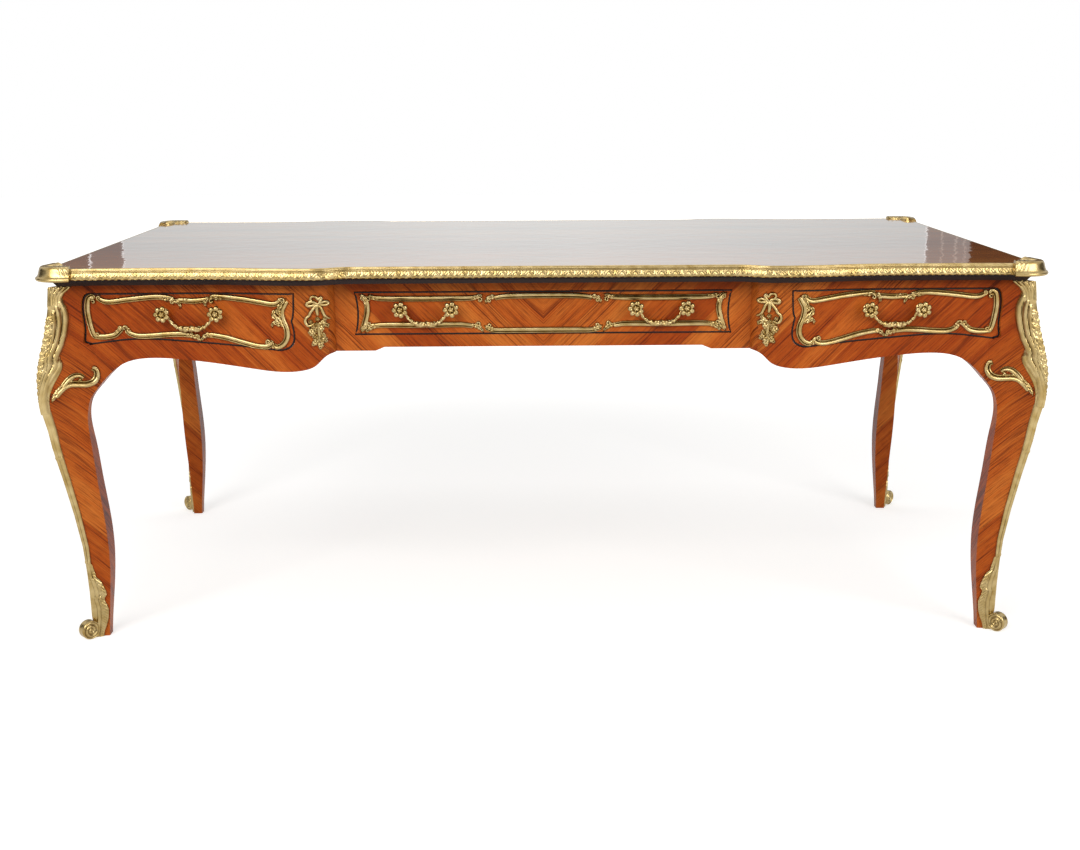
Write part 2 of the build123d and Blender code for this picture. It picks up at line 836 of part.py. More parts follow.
side_box = ((side_box_start, side_box_end), side_drawer_back_line, (side_box_low, side_box_high))
centre_box = ((-centre_box_end, centre_box_end), frieze_back_line, (centre_box_low, centre_box_high))
with BuildPart() as drawer_right_box:
    drawer_box(*side_box)
keep(drawer_right_box, "drawer_right_box")
with BuildPart() as drawer_left_box:
    add(drawer_right_box.part.mirror(Plane.YZ))
keep(drawer_left_box, "drawer_left_box")
with BuildPart() as drawer_centre_box:
    drawer_box(*centre_box)
keep(drawer_centre_box, "drawer_centre_box")
with BuildPart() as drawer_right_bottom:
    drawer_bottom_board(*side_box)
keep(drawer_right_bottom, "drawer_right_bottom")
with BuildPart() as drawer_left_bottom:
    add(drawer_right_bottom.part.mirror(Plane.YZ))
keep(drawer_left_bottom, "drawer_left_bottom")
with BuildPart() as drawer_centre_bottom:
    drawer_bottom_board(*centre_box)
keep(drawer_centre_bottom, "drawer_centre_bottom")

# Sham drawer fronts in the back frieze.
with BuildPart() as sham_fronts:
    for front in (drawer_right_front, drawer_left_front, centre_drawer_front):
        add(front.part.mirror(Plane.XZ))
keep(sham_fronts, "sham_drawer_fronts")

# ---------------------------------------------------------------- bronze frames
with BuildPart() as relief_skin:
    with BuildSketch(FLAT.offset(frieze_bottom)):
        frieze_plan(drawer_outer_bow, frieze_back_line, frame_thickness)
    extrude(amount=frieze_top - frieze_bottom)
    with BuildSketch(FLAT.offset(frieze_bottom)):
        frieze_plan(drawer_outer_bow, frieze_back_line - 20)
    extrude(amount=frieze_top - frieze_bottom, mode=Mode.SUBTRACT)


def side_frame_face():
    """Elevation of the right drawer's frame, scrolled at its corners."""
    with BuildLine() as outline:
        FilletPolyline(
            (905, drawer_top - 5.5),
            (735, drawer_top - 6.5),
            (705, drawer_top - 14.5),
            (600, drawer_top - 11.5),
            (512, drawer_top - 16.5),
            (526, drawer_top - 54.5),
            (512, drawer_top - 82.5),
            (534, drawer_top - 109.5),
            (650, drawer_top - 96.5),
            (760, drawer_top - 88.5),
            (865, drawer_top - 87.5),
            (905, drawer_top - 93.5),
            (913, drawer_top - 50.5),
            radius=8,
            close=True,
        )
    make_face(outline.edges())
    offset(amount=-frame_width, mode=Mode.SUBTRACT)


def centre_frame_face():
    """Elevation of the centre drawer's frame, stepped at its middle stretch."""
    with BuildLine() as outline:
        FilletPolyline(
            (98, centre_drawer_top - 3),
            (112, centre_drawer_top - 9),
            (374, centre_drawer_top - 8),
            (366, centre_drawer_top - 44),
            (374, centre_drawer_top - 81),
            (112, centre_drawer_top - 75),
            (98, centre_drawer_top - 83),
            (-98, centre_drawer_top - 83),
            (-112, centre_drawer_top - 75),
            (-374, centre_drawer_top - 81),
            (-366, centre_drawer_top - 44),
            (-374, centre_drawer_top - 8),
            (-112, centre_drawer_top - 9),
            (-98, centre_drawer_top - 3),
            radius=4,
            close=True,
        )
    make_face(outline.edges())
    offset(amount=-frame_width, mode=Mode.SUBTRACT)


with BuildPart() as side_frame:
    with BuildSketch(ELEVATION.offset(frieze_centre_face - 30)):
        side_frame_face()
    extrude(amount=100)
    add(relief_skin.part, mode=Mode.INTERSECT)
with BuildPart() as centre_frame:
    with BuildSketch(ELEVATION.offset(frieze_centre_face - 30)):
        centre_frame_face()
    extrude(amount=100)
    add(relief_skin.part, mode=Mode.INTERSECT)


# ---------------------------------------------------------------- handles
def handle_posts(place, face, height, spacing):
    """Two posts with flower heads; each post is bored for the bail's pin."""
    for side in (-1, 1):
        post_x = place + side * spacing / 2
        with BuildSketch(Plane(origin=(post_x, -face, height))) as post_section:
            with BuildLine():
                Polyline(
                    (0, 0),
                    (post_plate_radius, 0),
                    (post_plate_radius, -post_plate_thickness),
                    (post_radius, -post_plate_thickness - 1.5),
                    (post_radius, -head_back + 2.0),
                    (head_radius - 3, -head_back),
                    (head_radius, -head_back - head_thickness / 3),
                    (head_radius - 3, -head_back - head_thickness * 0.75),
                    (head_radius / 2, -head_back - head_thickness * 0.7),
                    (head_radius / 4, -head_back - head_thickness),
                    (0, -head_back - head_thickness),
                    (0, 0),
                )
            make_face()
        revolve(post_section.sketch, axis=Axis((post_x, -face, height), (0, 1, 0)))
        with BuildSketch(SIDE.offset(post_x - 2 * post_radius)) as bore:
            with Locations((-face - bail_axis_out, height)):
                Circle(bail_pin_radius + bail_running_gap)
        extrude(bore.sketch, amount=4 * post_radius, mode=Mode.SUBTRACT)


def bail_shape(place, face, height, spacing):
    """Hanging bail: pins in the two posts, necks, and a leafy knot at its middle."""
    half = spacing / 2
    level = -face - bail_axis_out
    route = [
        (half + post_radius + 1, 0),
        (half - post_radius - 2.5, 0),
        (half - post_radius - 5.5, -bail_drop * 0.42),
        (half * 0.5, -bail_drop),
    ]
    points = [(place + x, level, height + z) for x, z in route]
    points += [(place - x, level, height + z) for x, z in reversed(route)]
    with BuildLine() as bail_path:
        FilletPolyline(*points, radius=3.5)
    with BuildSketch(Plane(origin=points[0], x_dir=(0, 1, 0), z_dir=(-1, 0, 0))) as wire_section:
        Circle(bail_pin_radius)
    sweep(wire_section.sketch, path=bail_path.wires()[0])
    with BuildSketch(Plane(origin=(place, level, height - bail_drop), z_dir=(0, -1, 0), x_dir=(1, 0, 0))) as knot:
        with BuildLine():
            Line((-bail_knot_half, 0), (bail_knot_half, 0))
            Spline(
                (bail_knot_half, 0),
                (bail_knot_half - 4, bail_pin_radius + 0.8),
                (bail_knot_half / 2, bail_pin_radius + 0.4),
                (0, bail_knot_radius),
                (-bail_knot_half / 2, bail_pin_radius + 0.4),
                (-bail_knot_half + 4, bail_pin_radius + 0.8),
                (-bail_knot_half, 0),
            )
        make_face()
    revolve(knot.sketch, axis=Axis((place, level, height - bail_drop), (1, 0, 0)))


side_handle = (frieze_side_face, side_handle_height, side_handle_spacing)
centre_handle = (frieze_centre_face, centre_handle_height, centre_handle_spacing)

with BuildPart() as side_posts:
    handle_posts(side_handle_place, *side_handle)
with BuildPart() as centre_posts:
    handle_posts(centre_handle_place, *centre_handle)
    handle_posts(-centre_handle_place, *centre_handle)

with BuildPart() as drawer_right_mounts:
    add(side_frame.part)
    add(side_posts.part)
    add(drawer_right_front.part, mode=Mode.SUBTRACT)
keep(drawer_right_mounts, "drawer_right_mounts")
with BuildPart() as drawer_left_mounts:
    add(drawer_right_mounts.part.mirror(Plane.YZ))
keep(drawer_left_mounts, "drawer_left_mounts")
with BuildPart() as drawer_centre_mounts:
    add(centre_frame.part)
    add(centre_posts.part)
keep(drawer_centre_mounts, "drawer_centre_mounts")

with BuildPart() as bail_right:
    bail_shape(side_handle_place, *side_handle)
with BuildPart() as bail_centre_right:
    bail_shape(centre_handle_place, *centre_handle)
BAILS = {"right": bail_right, "centre_right": bail_centre_right}
for bail_name, source in BAILS.items():
    with BuildPart() as bail:
        add(source.part)
    keep(bail, "bail_" + bail_name)
    with BuildPart() as bail:
        add(source.part.mirror(Plane.YZ))
    keep(bail, "bail_" + bail_name.replace("right", "left"))
    with BuildPart() as bail:
        add(source.part.mirror(Plane.XZ))
    keep(bail, "back_bail_" + bail_name)
    with BuildPart() as bail:
        add(source.part.mirror(Plane.YZ).mirror(Plane.XZ))
    keep(bail, "back_bail_" + bail_name.replace("right", "left"))

with BuildPart() as end_frame_right:
    with BuildSketch(SIDE.offset(side_frieze_face)):
        with BuildLine():
            FilletPolyline(
                (-340, drawer_top - 16.5),
                (-60, drawer_top - 16.5),
                (0, drawer_top - 8.5),
                (60, drawer_top - 16.5),
                (340, drawer_top - 16.5),
                (352, drawer_top - 50.5),
                (330, drawer_top - 94.5),
                (60, drawer_top - 100.5),
                (0, drawer_top - 108.5),
                (-60, drawer_top - 100.5),
                (-330, drawer_top - 94.5),
                (-352, drawer_top - 50.5),
                radius=8,
                close=True,
            )
        make_face()
        offset(amount=-frame_width, mode=Mode.SUBTRACT)
    extrude(amount=frame_thickness)
# ---------------------------------------------------------------- pendants
pendant_height = pendant_top - pendant_low
PENDANT_HALF = (
    (0.12, 0.0),
    (0.46, 0.06),
    (0.44, 0.18),
    (0.20, 0.24),
    (0.28, 0.34),
    (0.50, 0.42),
    (0.44, 0.52),
    (0.26, 0.56),
    (0.44, 0.66),
    (0.30, 0.80),
    (0.22, 0.90),
    (0.06, 1.0),
)
PENDANT_OUTLINE = [(1, across, down) for across, down in PENDANT_HALF]
PENDANT_OUTLINE += [(-1, across, down) for across, down in reversed(PENDANT_HALF)]
with BuildPart() as pendant_right:
    with BuildSketch(ELEVATION.offset(frieze_centre_face - 20)):
        with BuildLine():
            Polyline(
                *[
                    (pendant_place + side * across * pendant_width, pendant_top - down * pendant_height)
                    for side, across, down in PENDANT_OUTLINE
                ],
                close=True,
            )
        make_face()
    extrude(amount=120)
    add(relief_skin.part, mode=Mode.INTERSECT)
with BuildPart() as pendants:
    for side_x, side_y in CORNERS.values():
        at_corner(pendant_right, side_x, side_y)

with BuildPart() as carcase_frames:
    for mounts in (drawer_right_mounts, drawer_left_mounts, drawer_centre_mounts):
        add(mounts.part.mirror(Plane.XZ))
    add(end_frame_right.part)
    add(end_frame_right.part.mirror(Plane.YZ))
    add(pendants.part)
keep(carcase_frames, "carcase_mounts")
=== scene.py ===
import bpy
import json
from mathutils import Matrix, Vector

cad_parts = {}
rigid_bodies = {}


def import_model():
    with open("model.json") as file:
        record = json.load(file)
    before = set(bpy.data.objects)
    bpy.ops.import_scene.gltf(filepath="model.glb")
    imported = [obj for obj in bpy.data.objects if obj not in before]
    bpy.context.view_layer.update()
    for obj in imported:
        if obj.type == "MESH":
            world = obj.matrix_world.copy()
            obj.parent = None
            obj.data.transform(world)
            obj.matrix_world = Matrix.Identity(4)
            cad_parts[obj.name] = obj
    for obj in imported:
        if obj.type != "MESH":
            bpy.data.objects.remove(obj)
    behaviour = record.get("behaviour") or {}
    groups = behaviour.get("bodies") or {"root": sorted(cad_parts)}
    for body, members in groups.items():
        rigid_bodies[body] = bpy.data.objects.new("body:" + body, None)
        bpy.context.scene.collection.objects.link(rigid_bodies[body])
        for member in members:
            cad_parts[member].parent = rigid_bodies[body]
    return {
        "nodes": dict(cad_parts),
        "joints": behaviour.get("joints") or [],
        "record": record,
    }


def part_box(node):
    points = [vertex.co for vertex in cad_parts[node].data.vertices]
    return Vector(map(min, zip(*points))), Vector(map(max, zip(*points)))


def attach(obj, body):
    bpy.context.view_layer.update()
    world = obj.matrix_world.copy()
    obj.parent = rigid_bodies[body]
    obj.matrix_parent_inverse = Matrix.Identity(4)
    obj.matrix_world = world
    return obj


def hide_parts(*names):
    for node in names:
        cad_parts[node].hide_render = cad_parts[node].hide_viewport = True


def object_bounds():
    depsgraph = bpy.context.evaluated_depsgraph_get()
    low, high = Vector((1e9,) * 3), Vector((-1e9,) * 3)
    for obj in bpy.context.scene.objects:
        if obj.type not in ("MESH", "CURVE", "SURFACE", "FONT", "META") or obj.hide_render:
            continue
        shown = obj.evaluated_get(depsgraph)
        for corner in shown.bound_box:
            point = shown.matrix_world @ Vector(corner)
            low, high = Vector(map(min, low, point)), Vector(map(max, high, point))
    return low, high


bl_info = {
    "name": "Bureau plat",
    "version": (1, 0, 0),
    "blender": (4, 5, 0),
    "location": "View3D > Sidebar > Bureau plat",
    "description": "Dresses a veneered writing desk with gilt bronze mounts, piece by piece",
    "category": "Add Mesh",
}

import json
import math

import bpy
import bmesh
import numpy as np
from bpy.props import FloatProperty, FloatVectorProperty, PointerProperty
from bpy.types import Operator, Panel, PropertyGroup
from mathutils import Vector
from mathutils.bvhtree import BVHTree

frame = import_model()
CAD_BOX = [list(corner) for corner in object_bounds()]
NODES = frame["nodes"]
MM = 0.001
SAME_PLACE = 1e-6  # metres within which two points of a casting are one
# Pieces are drawn at the front right; these signs of X and Y put them elsewhere.
FRONT, LEFT, BEHIND = (1, 1), (-1, 1), (1, -1)
CORNERS = {"front_right": FRONT, "front_left": LEFT, "back_right": BEHIND, "back_left": (-1, -1)}


# ---------------------------------------------------------------- colours and nodes
def linear(text):
    """The linear red, green and blue of an sRGB hex colour."""
    parts = [int(text[i : i + 2], 16) / 255 for i in (1, 3, 5)]
    return tuple(c / 12.92 if c <= 0.04045 else ((c + 0.055) / 1.055) ** 2.4 for c in parts)


def node(tree, kind, links=(), stops=(), **settings):
    """Add a node and return its outputs: links are its inputs' values or sources, stops a ramp's."""
    made = tree.nodes.new("ShaderNode" + kind)
    for name, value in settings.items():
        setattr(made, name, value)
    for key, value in dict(links).items():
        if isinstance(value, bpy.types.NodeSocket):
            tree.links.new(value, made.inputs[key])
        else:
            made.inputs[key].default_value = value
    while stops and len(made.color_ramp.elements) < len(stops):
        made.color_ramp.elements.new(0.5)
    for number, (position, colour) in enumerate(stops):
        made.color_ramp.elements[number].position = position
        made.color_ramp.elements[number].color = (*colour, 1.0)
    return made.outputs


def new_material(name):
    """Empty node material; returns it and its node tree."""
    material = bpy.data.materials.new(name)
    material.use_nodes = True
    material.node_tree.nodes.clear()
    return material, material.node_tree


# ---------------------------------------------------------------- meshes
class Casting:
    """Points and faces of one piece, in millimetres."""

    def __init__(self):
        self.points = []
        self.faces = []
        self.count = 0

    def skin(self, rings, caps=True):
        """Skin a run of rings of points; caps fill the first and the last."""
        rings = np.asarray(rings, float)
        rows, across = rings.shape[:2]
        here = np.arange(rows * across).reshape(rows, across) + self.count
        after = np.roll(here, -1, axis=1)
        quads = np.stack([here[:-1], after[:-1], after[1:], here[1:]], axis=-1).reshape(-1, 4)
        self.faces += quads.tolist()
        if caps:
            self.faces += [here[0].tolist(), here[-1].tolist()]
        self.points.append(rings.reshape(-1, 3))
        self.count += rows * across

    def build(self, name, body, replaced=(), side=FRONT, angle=50, finish="gilt_bronze", slot="gilt_bronze"):
        """Make the object, ride it on its body and hide the nodes it stands for; edges past angle are sharp.
        """
        points = np.concatenate(self.points) * (side[0] * MM, side[1] * MM, MM)
        mesh = bpy.data.meshes.new(name)
        mesh.from_pydata(points.tolist(), [], self.faces)
        work = bmesh.new()
        work.from_mesh(mesh)
        bmesh.ops.remove_doubles(work, verts=work.verts, dist=SAME_PLACE)
        bmesh.ops.dissolve_degenerate(work, edges=work.edges, dist=SAME_PLACE / 10)
        bmesh.ops.recalc_face_normals(work, faces=work.faces)
        work.to_mesh(mesh)
        work.free()
        mesh.polygons.foreach_set("use_smooth", [True] * len(mesh.polygons))
        mesh.set_sharp_from_angle(angle=math.radians(angle))
        piece = bpy.data.objects.new(name, mesh)
        bpy.context.scene.collection.objects.link(piece)
        mesh.materials.append(finish_of(finish))
        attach(piece, body)
        if replaced:
            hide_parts(*replaced)


def distances(line):
    """How far along a line each of its points lies."""
    gaps = np.linalg.norm(np.diff(np.asarray(line, float), axis=0), axis=1)
    return np.concatenate([[0], np.cumsum(gaps)])


def headings(line):
    """Unit direction of a line at each of its points."""
    along = np.gradient(line, axis=0)
    return along / np.linalg.norm(along, axis=1)[:, None]


def evenly(line, steps):
    """Evenly spaced points on the straight runs between the given ones."""
    line = np.asarray(line, float)
    run = distances(line)
    at = np.linspace(0, run[-1], steps)
    return np.stack([np.interp(at, run, line[:, k]) for k in range(line.shape[1])], axis=1)


def smooth(points, steps):
    """Evenly spaced points on a smooth line through the given ones."""
    points = np.asarray(points, float)
    ends = np.vstack([2 * points[0] - points[1], points, 2 * points[-1] - points[-2]])
    t = np.linspace(0, 1, 16, endpoint=False)[:, None]
    line = []
    for a, b, c, d in zip(ends, ends[1:], ends[2:], ends[3:]):
        square, cube = 2 * a - 5 * b + 4 * c - d, 3 * b - a - 3 * c + d
        line.append(0.5 * (2 * b + (c - a) * t + square * t**2 + cube * t**3))
    return evenly(np.vstack([*line, points[-1:]]), steps)


def blob(x):
    """Half-round profile of a number from -1 to 1."""
    return np.sqrt(np.clip(1 - x * x, 0, 1))


# ---------------------------------------------------------------- surfaces that carry bronze
def tree_of(names):
    """Search tree over the named nodes."""
    points, faces, base = [], [], 0
    for name in names:
        mesh = NODES[name].data
        points += [tuple(v.co) for v in mesh.vertices]
        faces += [tuple(base + i for i in p.vertices) for p in mesh.polygons]
        base += len(mesh.vertices)
    return BVHTree.FromPolygons(points, faces)


FRONT_WOOD = tree_of(
    ["leg_front_right", "leg_front_left", "apron_right", "apron_left", "apron_centre", "front_piers"]
    + ["frieze_top_rail", "drawer_right_front", "drawer_left_front", "drawer_centre_front"]
)
END_WOOD = tree_of(["end_friezes", "leg_front_right", "leg_back_right"])
# Where a ray starts, the depth past which it has missed, and the face taken then, in metres.
OUTSIDE = 0.1  # beyond the object's box
FRONT_START, FRONT_LIMIT = CAD_BOX[0][1] - OUTSIDE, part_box("drawer_centre_front")[1][1]
FRONT_FACE = -0.443
END_START, END_FACE = CAD_BOX[1][0] + OUTSIDE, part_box("end_friezes")[1][0]
END_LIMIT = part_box("leg_front_right")[0][0]
# Relief rises along the wood's normal unless that turns this far from straight ahead.
STEEP = 0.6


def lay_front(flat, high):
    """Carry (x, z) points with a height onto the front of the desk."""
    ahead = Vector((0, -1, 0))
    out = np.empty(flat.shape[:-1] + (3,))
    for place in np.ndindex(*flat.shape[:-1]):
        x, z = flat[place] * MM
        hit, normal = FRONT_WOOD.ray_cast(Vector((x, FRONT_START, z)), -ahead)[:2]
        if hit is None or hit.y > FRONT_LIMIT:
            hit, normal = Vector((x, FRONT_FACE, z)), ahead
        if normal.y > 0:
            normal = -normal
        if normal.y > -STEEP:
            normal = ahead
        out[place] = hit / MM + normal * high[place]
    return out


def lay_end(flat, high):
    """Carry (y, z) points with a height onto the right end of the desk."""
    out = np.empty(flat.shape[:-1] + (3,))
    for place in np.ndindex(*flat.shape[:-1]):
        y, z = flat[place]
        hit = END_WOOD.ray_cast(Vector((END_START, y * MM, z * MM)), Vector((-1, 0, 0)))[0]
        reach = END_FACE if hit is None or hit.x < END_LIMIT else hit.x
        out[place] = (reach / MM + high[place], y, z)
    return out


RELIEF_STEP = 1.6  # mm between the sections of a raised band
SINK = 0.8  # mm that its edges reach into the wood


def relief(casting, lay, route, half_width, rise, section, steps=None, across=9):
    """Raised band along a route: half_width(u), rise(u) and section(u, v) shape it."""
    steps = steps or max(8, int(distances(route)[-1] / RELIEF_STEP))
    line = smooth(route, steps)
    along = headings(line)
    aside = np.stack([-along[:, 1], along[:, 0]], axis=1)
    u = np.linspace(0, 1, steps)
    v = np.linspace(-1, 1, across)
    wide = np.maximum(half_width(u), 0.15)
    flat = line[:, None, :] + aside[:, None, :] * (v[None, :] * wide[:, None])[:, :, None]
    high = rise(u)[:, None] * section(u[:, None], v[None, :])
    top = lay(flat, high)
    low = lay(flat[:, [-1, 0]], np.full((steps, 2), -SINK))
    casting.skin(np.concatenate([top, low], axis=1))


def swell(value, ends=0.35, power=0.5):
    """A width that swells from its ends to its middle."""
    return lambda u: value * (ends + (1 - ends) * np.sin(np.pi * u) ** power)


def reeds(u, v):
    """Section of a rail: one broad round with a low fillet beside it."""
    large = blob((v - 0.28) / 0.70)
    small = 0.66 * blob((v + 0.72) / 0.27)
    return 0.16 + 0.84 * np.maximum(large, small) + 0 * u


def leaf_section(lobes, skew=0.8):
    """Acanthus relief: a sunk midrib and oblique flutes."""

    def section(u, v):
        flutes = 0.5 + 0.5 * np.cos(2 * np.pi * (lobes * u - skew * np.abs(v)))
        crown = blob(v * 0.92)
        rib = 1 - 0.4 * np.exp(-((v / 0.16) ** 2))
        return 0.25 + 0.75 * crown * rib * (1 - 0.38 * flutes)

    return section


def leaf_width(width, lobes, notch=0.3):
    """Half width of a lobed leaf from its root to its tip."""

    def half(u):
        body = np.sin(np.pi * np.clip(u, 0.02, 0.98) ** 0.75) ** 0.7
        return width * body * (1 - notch * ((u * lobes) % 1.0))

    return half


def leaf(casting, lay, route, width, rise, lobes=4):
    """One acanthus leaf along a route."""
    steps = max(14, lobes * 7)
    relief(casting, lay, route, leaf_width(width, lobes), swell(rise, 0.35), leaf_section(lobes), steps, 11)


def dome(u, v):
    """Section of a plain rounded band."""
    return 0.15 + 0.85 * blob(v * 0.96) + 0 * u


CURL_RISE = 6.5


def curl(casting, lay, spot, radius, start, turn):
    """Rolled end of a rail: a spiral that winds in from the angle start; turn is 1 or -1."""
    t = np.linspace(0, 1, 13)
    angle = start + turn * 2 * np.pi * 0.95 * t
    out = radius * (1 - 0.80 * t)
    route = np.stack([spot[0] + out * np.cos(angle), spot[1] + out * np.sin(angle)], axis=1)

    def half_width(u):
        return radius * (0.52 - 0.1 * u)

    def rise(u):
        return CURL_RISE * (0.85 + 0.3 * u)

    relief(casting, lay, route, half_width, rise, dome, 22, 7)


def tube(casting, route, radius, sides=24):
    """Round bar along a route of 3D points; radius(u, angle) shapes it."""
    route = np.asarray(route, float)
    along = headings(route)
    first = np.cross(along, (0.0, 1.0, 0.0))
    first /= np.linalg.norm(first, axis=1)[:, None]
    second = np.cross(along, first)
    angle = np.linspace(0, 2 * np.pi, sides, endpoint=False)
    u = np.linspace(0, 1, len(route))
    r = radius(u[:, None], angle[None, :])
    ring = first[:, None, :] * (np.cos(angle)[None, :] * r)[:, :, None]
    ring = ring + second[:, None, :] * (np.sin(angle)[None, :] * r)[:, :, None]
    casting.skin(route[:, None, :] + ring)


def turned(casting, centre, profile, lobes=0, depth=0.0, sides=24):
    """Form turned about the forward axis from (radius, height), with petals where lobes are given."""
    angle = np.linspace(0, 2 * np.pi, sides, endpoint=False)
    petals = 1 - depth * (1 - np.abs(np.sin(lobes * angle / 2))) ** 1.3 if lobes else np.ones(sides)
    around = np.stack([np.cos(angle) * petals, 0 * angle, np.sin(angle) * petals], axis=1)
    rows = [np.array(centre) + radius * around + (0, -height, 0) for radius, height in profile]
    casting.skin(rows)


# ---------------------------------------------------------------- finishes
def grey(level):
    """Linear grey for a ramp that holds plain values."""
    return (level, level, level)


def grain_noise(tree, across, along, band, stretch, detail=3.0, rough=0.55):
    """Noise drawn out along the grain, in bands of that many millimetres."""
    spot = node(tree, "CombineXYZ", {0: across, 1: along})[0]
    size = (1000 / band, 1000 / (band * stretch), 1)
    scaled = node(tree, "Mapping", {"Vector": spot, "Scale": size})[0]
    noise = {"Vector": scaled, "Scale": 1.0, "Detail": detail, "Roughness": rough}
    return node(tree, "TexNoise", noise)[0]


def hairlines(tree, noise, middle, width, strength):
    """Mask of thin lines where a noise crosses one level."""
    off = node(tree, "Math", {0: noise, 1: middle}, operation="SUBTRACT")[0]
    off = node(tree, "Math", {0: off}, operation="ABSOLUTE")[0]
    stops = [(0.0, grey(strength)), (width, grey(0.0))]
    return node(tree, "ValToRGB", {0: off}, stops)[0]


VENEER_SLANT = 0.78  # radians between the grain and the level
END_ON = 0.71  # surfaces that face sideways by more than this are the ends of the desk


def veneer_grain(tree):
    """Across and along coordinates of veneer laid on a slant, falling away from the middle."""
    place = node(tree, "TexCoord")
    split = node(tree, "SeparateXYZ", {0: place["Object"]})
    facing = node(tree, "SeparateXYZ", {0: place["Normal"]})
    from_x = node(tree, "Math", {0: split[0]}, operation="ABSOLUTE")[0]
    from_y = node(tree, "Math", {0: split[1]}, operation="ABSOLUTE")[0]
    end_on = node(tree, "Math", {0: facing[0]}, operation="ABSOLUTE")[0]
    is_end = node(tree, "Math", {0: end_on, 1: END_ON}, operation="GREATER_THAN")[0]
    out = node(tree, "Mix", {0: is_end, 2: from_x, 3: from_y}, data_type="FLOAT")[0]
    s, c = math.sin(VENEER_SLANT), math.cos(VENEER_SLANT)
    part = node(tree, "Math", {0: out, 1: -s}, operation="MULTIPLY")[0]
    across = node(tree, "Math", {0: split[2], 1: c, 2: part}, operation="MULTIPLY_ADD")[0]
    part = node(tree, "Math", {0: out, 1: c}, operation="MULTIPLY")[0]
    along = node(tree, "Math", {0: split[2], 1: s, 2: part}, operation="MULTIPLY_ADD")[0]
    return across, along, place["Object"]


def wood_colour(tree, across, along, place, light, middle, dark, line):
    """Tone of sawn veneer: leaves, soft stripes, near-black growth lines and fine pores."""
    # The grain wanders by up to 8 mm over about 167 mm.
    drift = node(tree, "TexNoise", {"Vector": place, "Scale": 1 / (167 * MM), "Detail": 1.0})[0]
    bent = node(tree, "Math", {0: drift, 1: 8 * MM, 2: across}, operation="MULTIPLY_ADD")[0]
    # Leaves of veneer about 60 mm wide, each a little lighter or darker.
    leaf_number = node(tree, "Math", {0: across, 1: 1 / (60 * MM)}, operation="MULTIPLY")[0]
    leaf_number = node(tree, "Math", {0: leaf_number}, operation="FLOOR")[0]
    leaf_tone = node(tree, "TexWhiteNoise", {"W": leaf_number}, noise_dimensions="1D")[0]
    # Clouds of colour are 26 mm wide, stripes 4 mm and growth lines 4.6 mm apart. Pores are
    # 0.2 mm wide; they are drawn 1.1 mm wide so that they show.
    broad = grain_noise(tree, bent, along, 26.0, 8.0, 2.0)
    stripes = grain_noise(tree, bent, along, 4.0, 60.0, 2.0)
    growth = grain_noise(tree, bent, along, 4.6, 110.0, 1.0, 0.5)
    pores = grain_noise(tree, bent, along, 1.1, 26.0, 1.0, 0.5)
    tone = node(tree, "Math", {0: broad, 1: 0.32}, operation="MULTIPLY")[0]
    tone = node(tree, "Math", {0: stripes, 1: 0.24, 2: tone}, operation="MULTIPLY_ADD")[0]
    tone = node(tree, "Math", {0: leaf_tone, 1: 0.26, 2: tone}, operation="MULTIPLY_ADD")[0]
    stops = [(0.26, dark), (0.41, middle), (0.58, light)]
    colour = node(tree, "ValToRGB", {0: tone}, stops)[0]
    # Growth lines are 0.5 mm; they are drawn 1.2 mm wide so that they show.
    lines = hairlines(tree, growth, 0.5, 0.05, 0.95)
    crowd = node(tree, "ValToRGB", {0: broad}, [(0.44, grey(0.95)), (0.56, grey(0.3))])[0]
    ragged = node(tree, "Math", {0: lines, 1: crowd}, operation="MULTIPLY")[0]
    colour = node(tree, "Mix", {0: ragged, 6: colour, 7: (*line, 1)}, data_type="RGBA")[2]
    pitted = node(tree, "ValToRGB", {0: pores}, [(0.36, grey(0.4)), (0.47, grey(0.0))])[0]
    colour = node(tree, "Mix", {0: pitted, 6: colour, 7: (*line, 1)}, data_type="RGBA")[2]
    return colour, pores


# Kingwood: sawn veneer laid on a slant and French polished, so it shows orange-brown
# leaves with near-black growth lines under a soft sheen.
def kingwood(light, middle, dark, line):
    material, tree = new_material("french polished kingwood veneer")
    across, along, place = veneer_grain(tree)
    colour, pores = wood_colour(tree, across, along, place, light, middle, dark, line)
    bump = node(tree, "Bump", {"Height": pores, "Strength": 0.05, "Distance": 0.0003})[0]
    links = {"Base Color": colour, "Roughness": 0.26, "IOR": 1.15, "Normal": bump}
    node(tree, "OutputMaterial", {"Surface": node(tree, "BsdfPrincipled", links)[0]})
    return material


# Kingwood laid along the top and polished with many coats of shellac, so it mirrors
# what stands behind it and shows its grain only from above.
def polished_top(light, middle, dark, line):
    material, tree = new_material("shellac polished kingwood top")
    place = node(tree, "TexCoord")["Object"]
    split = node(tree, "SeparateXYZ", {0: place})
    colour = wood_colour(tree, split[1], split[0], place, light, middle, dark, line)[0]
    # Rubbing leaves waves about 50 mm long. They are drawn deeper than the real ones, which are
    # hundredths of a millimetre, so that reflections waver as they do on the real polish.
    waves = node(tree, "TexNoise", {"Vector": place, "Scale": 1 / (50 * MM), "Detail": 2.0})[0]
    bump = node(tree, "Bump", {"Height": waves, "Strength": 0.6, "Distance": 0.0012})[0]
    links = {"Base Color": colour, "Roughness": 0.08, "IOR": 1.5, "Normal": bump}
    links.update({"Coat Weight": 1.0, "Coat Roughness": 0.03, "Coat Normal": bump})
    node(tree, "OutputMaterial", {"Surface": node(tree, "BsdfPrincipled", links)[0]})
    return material


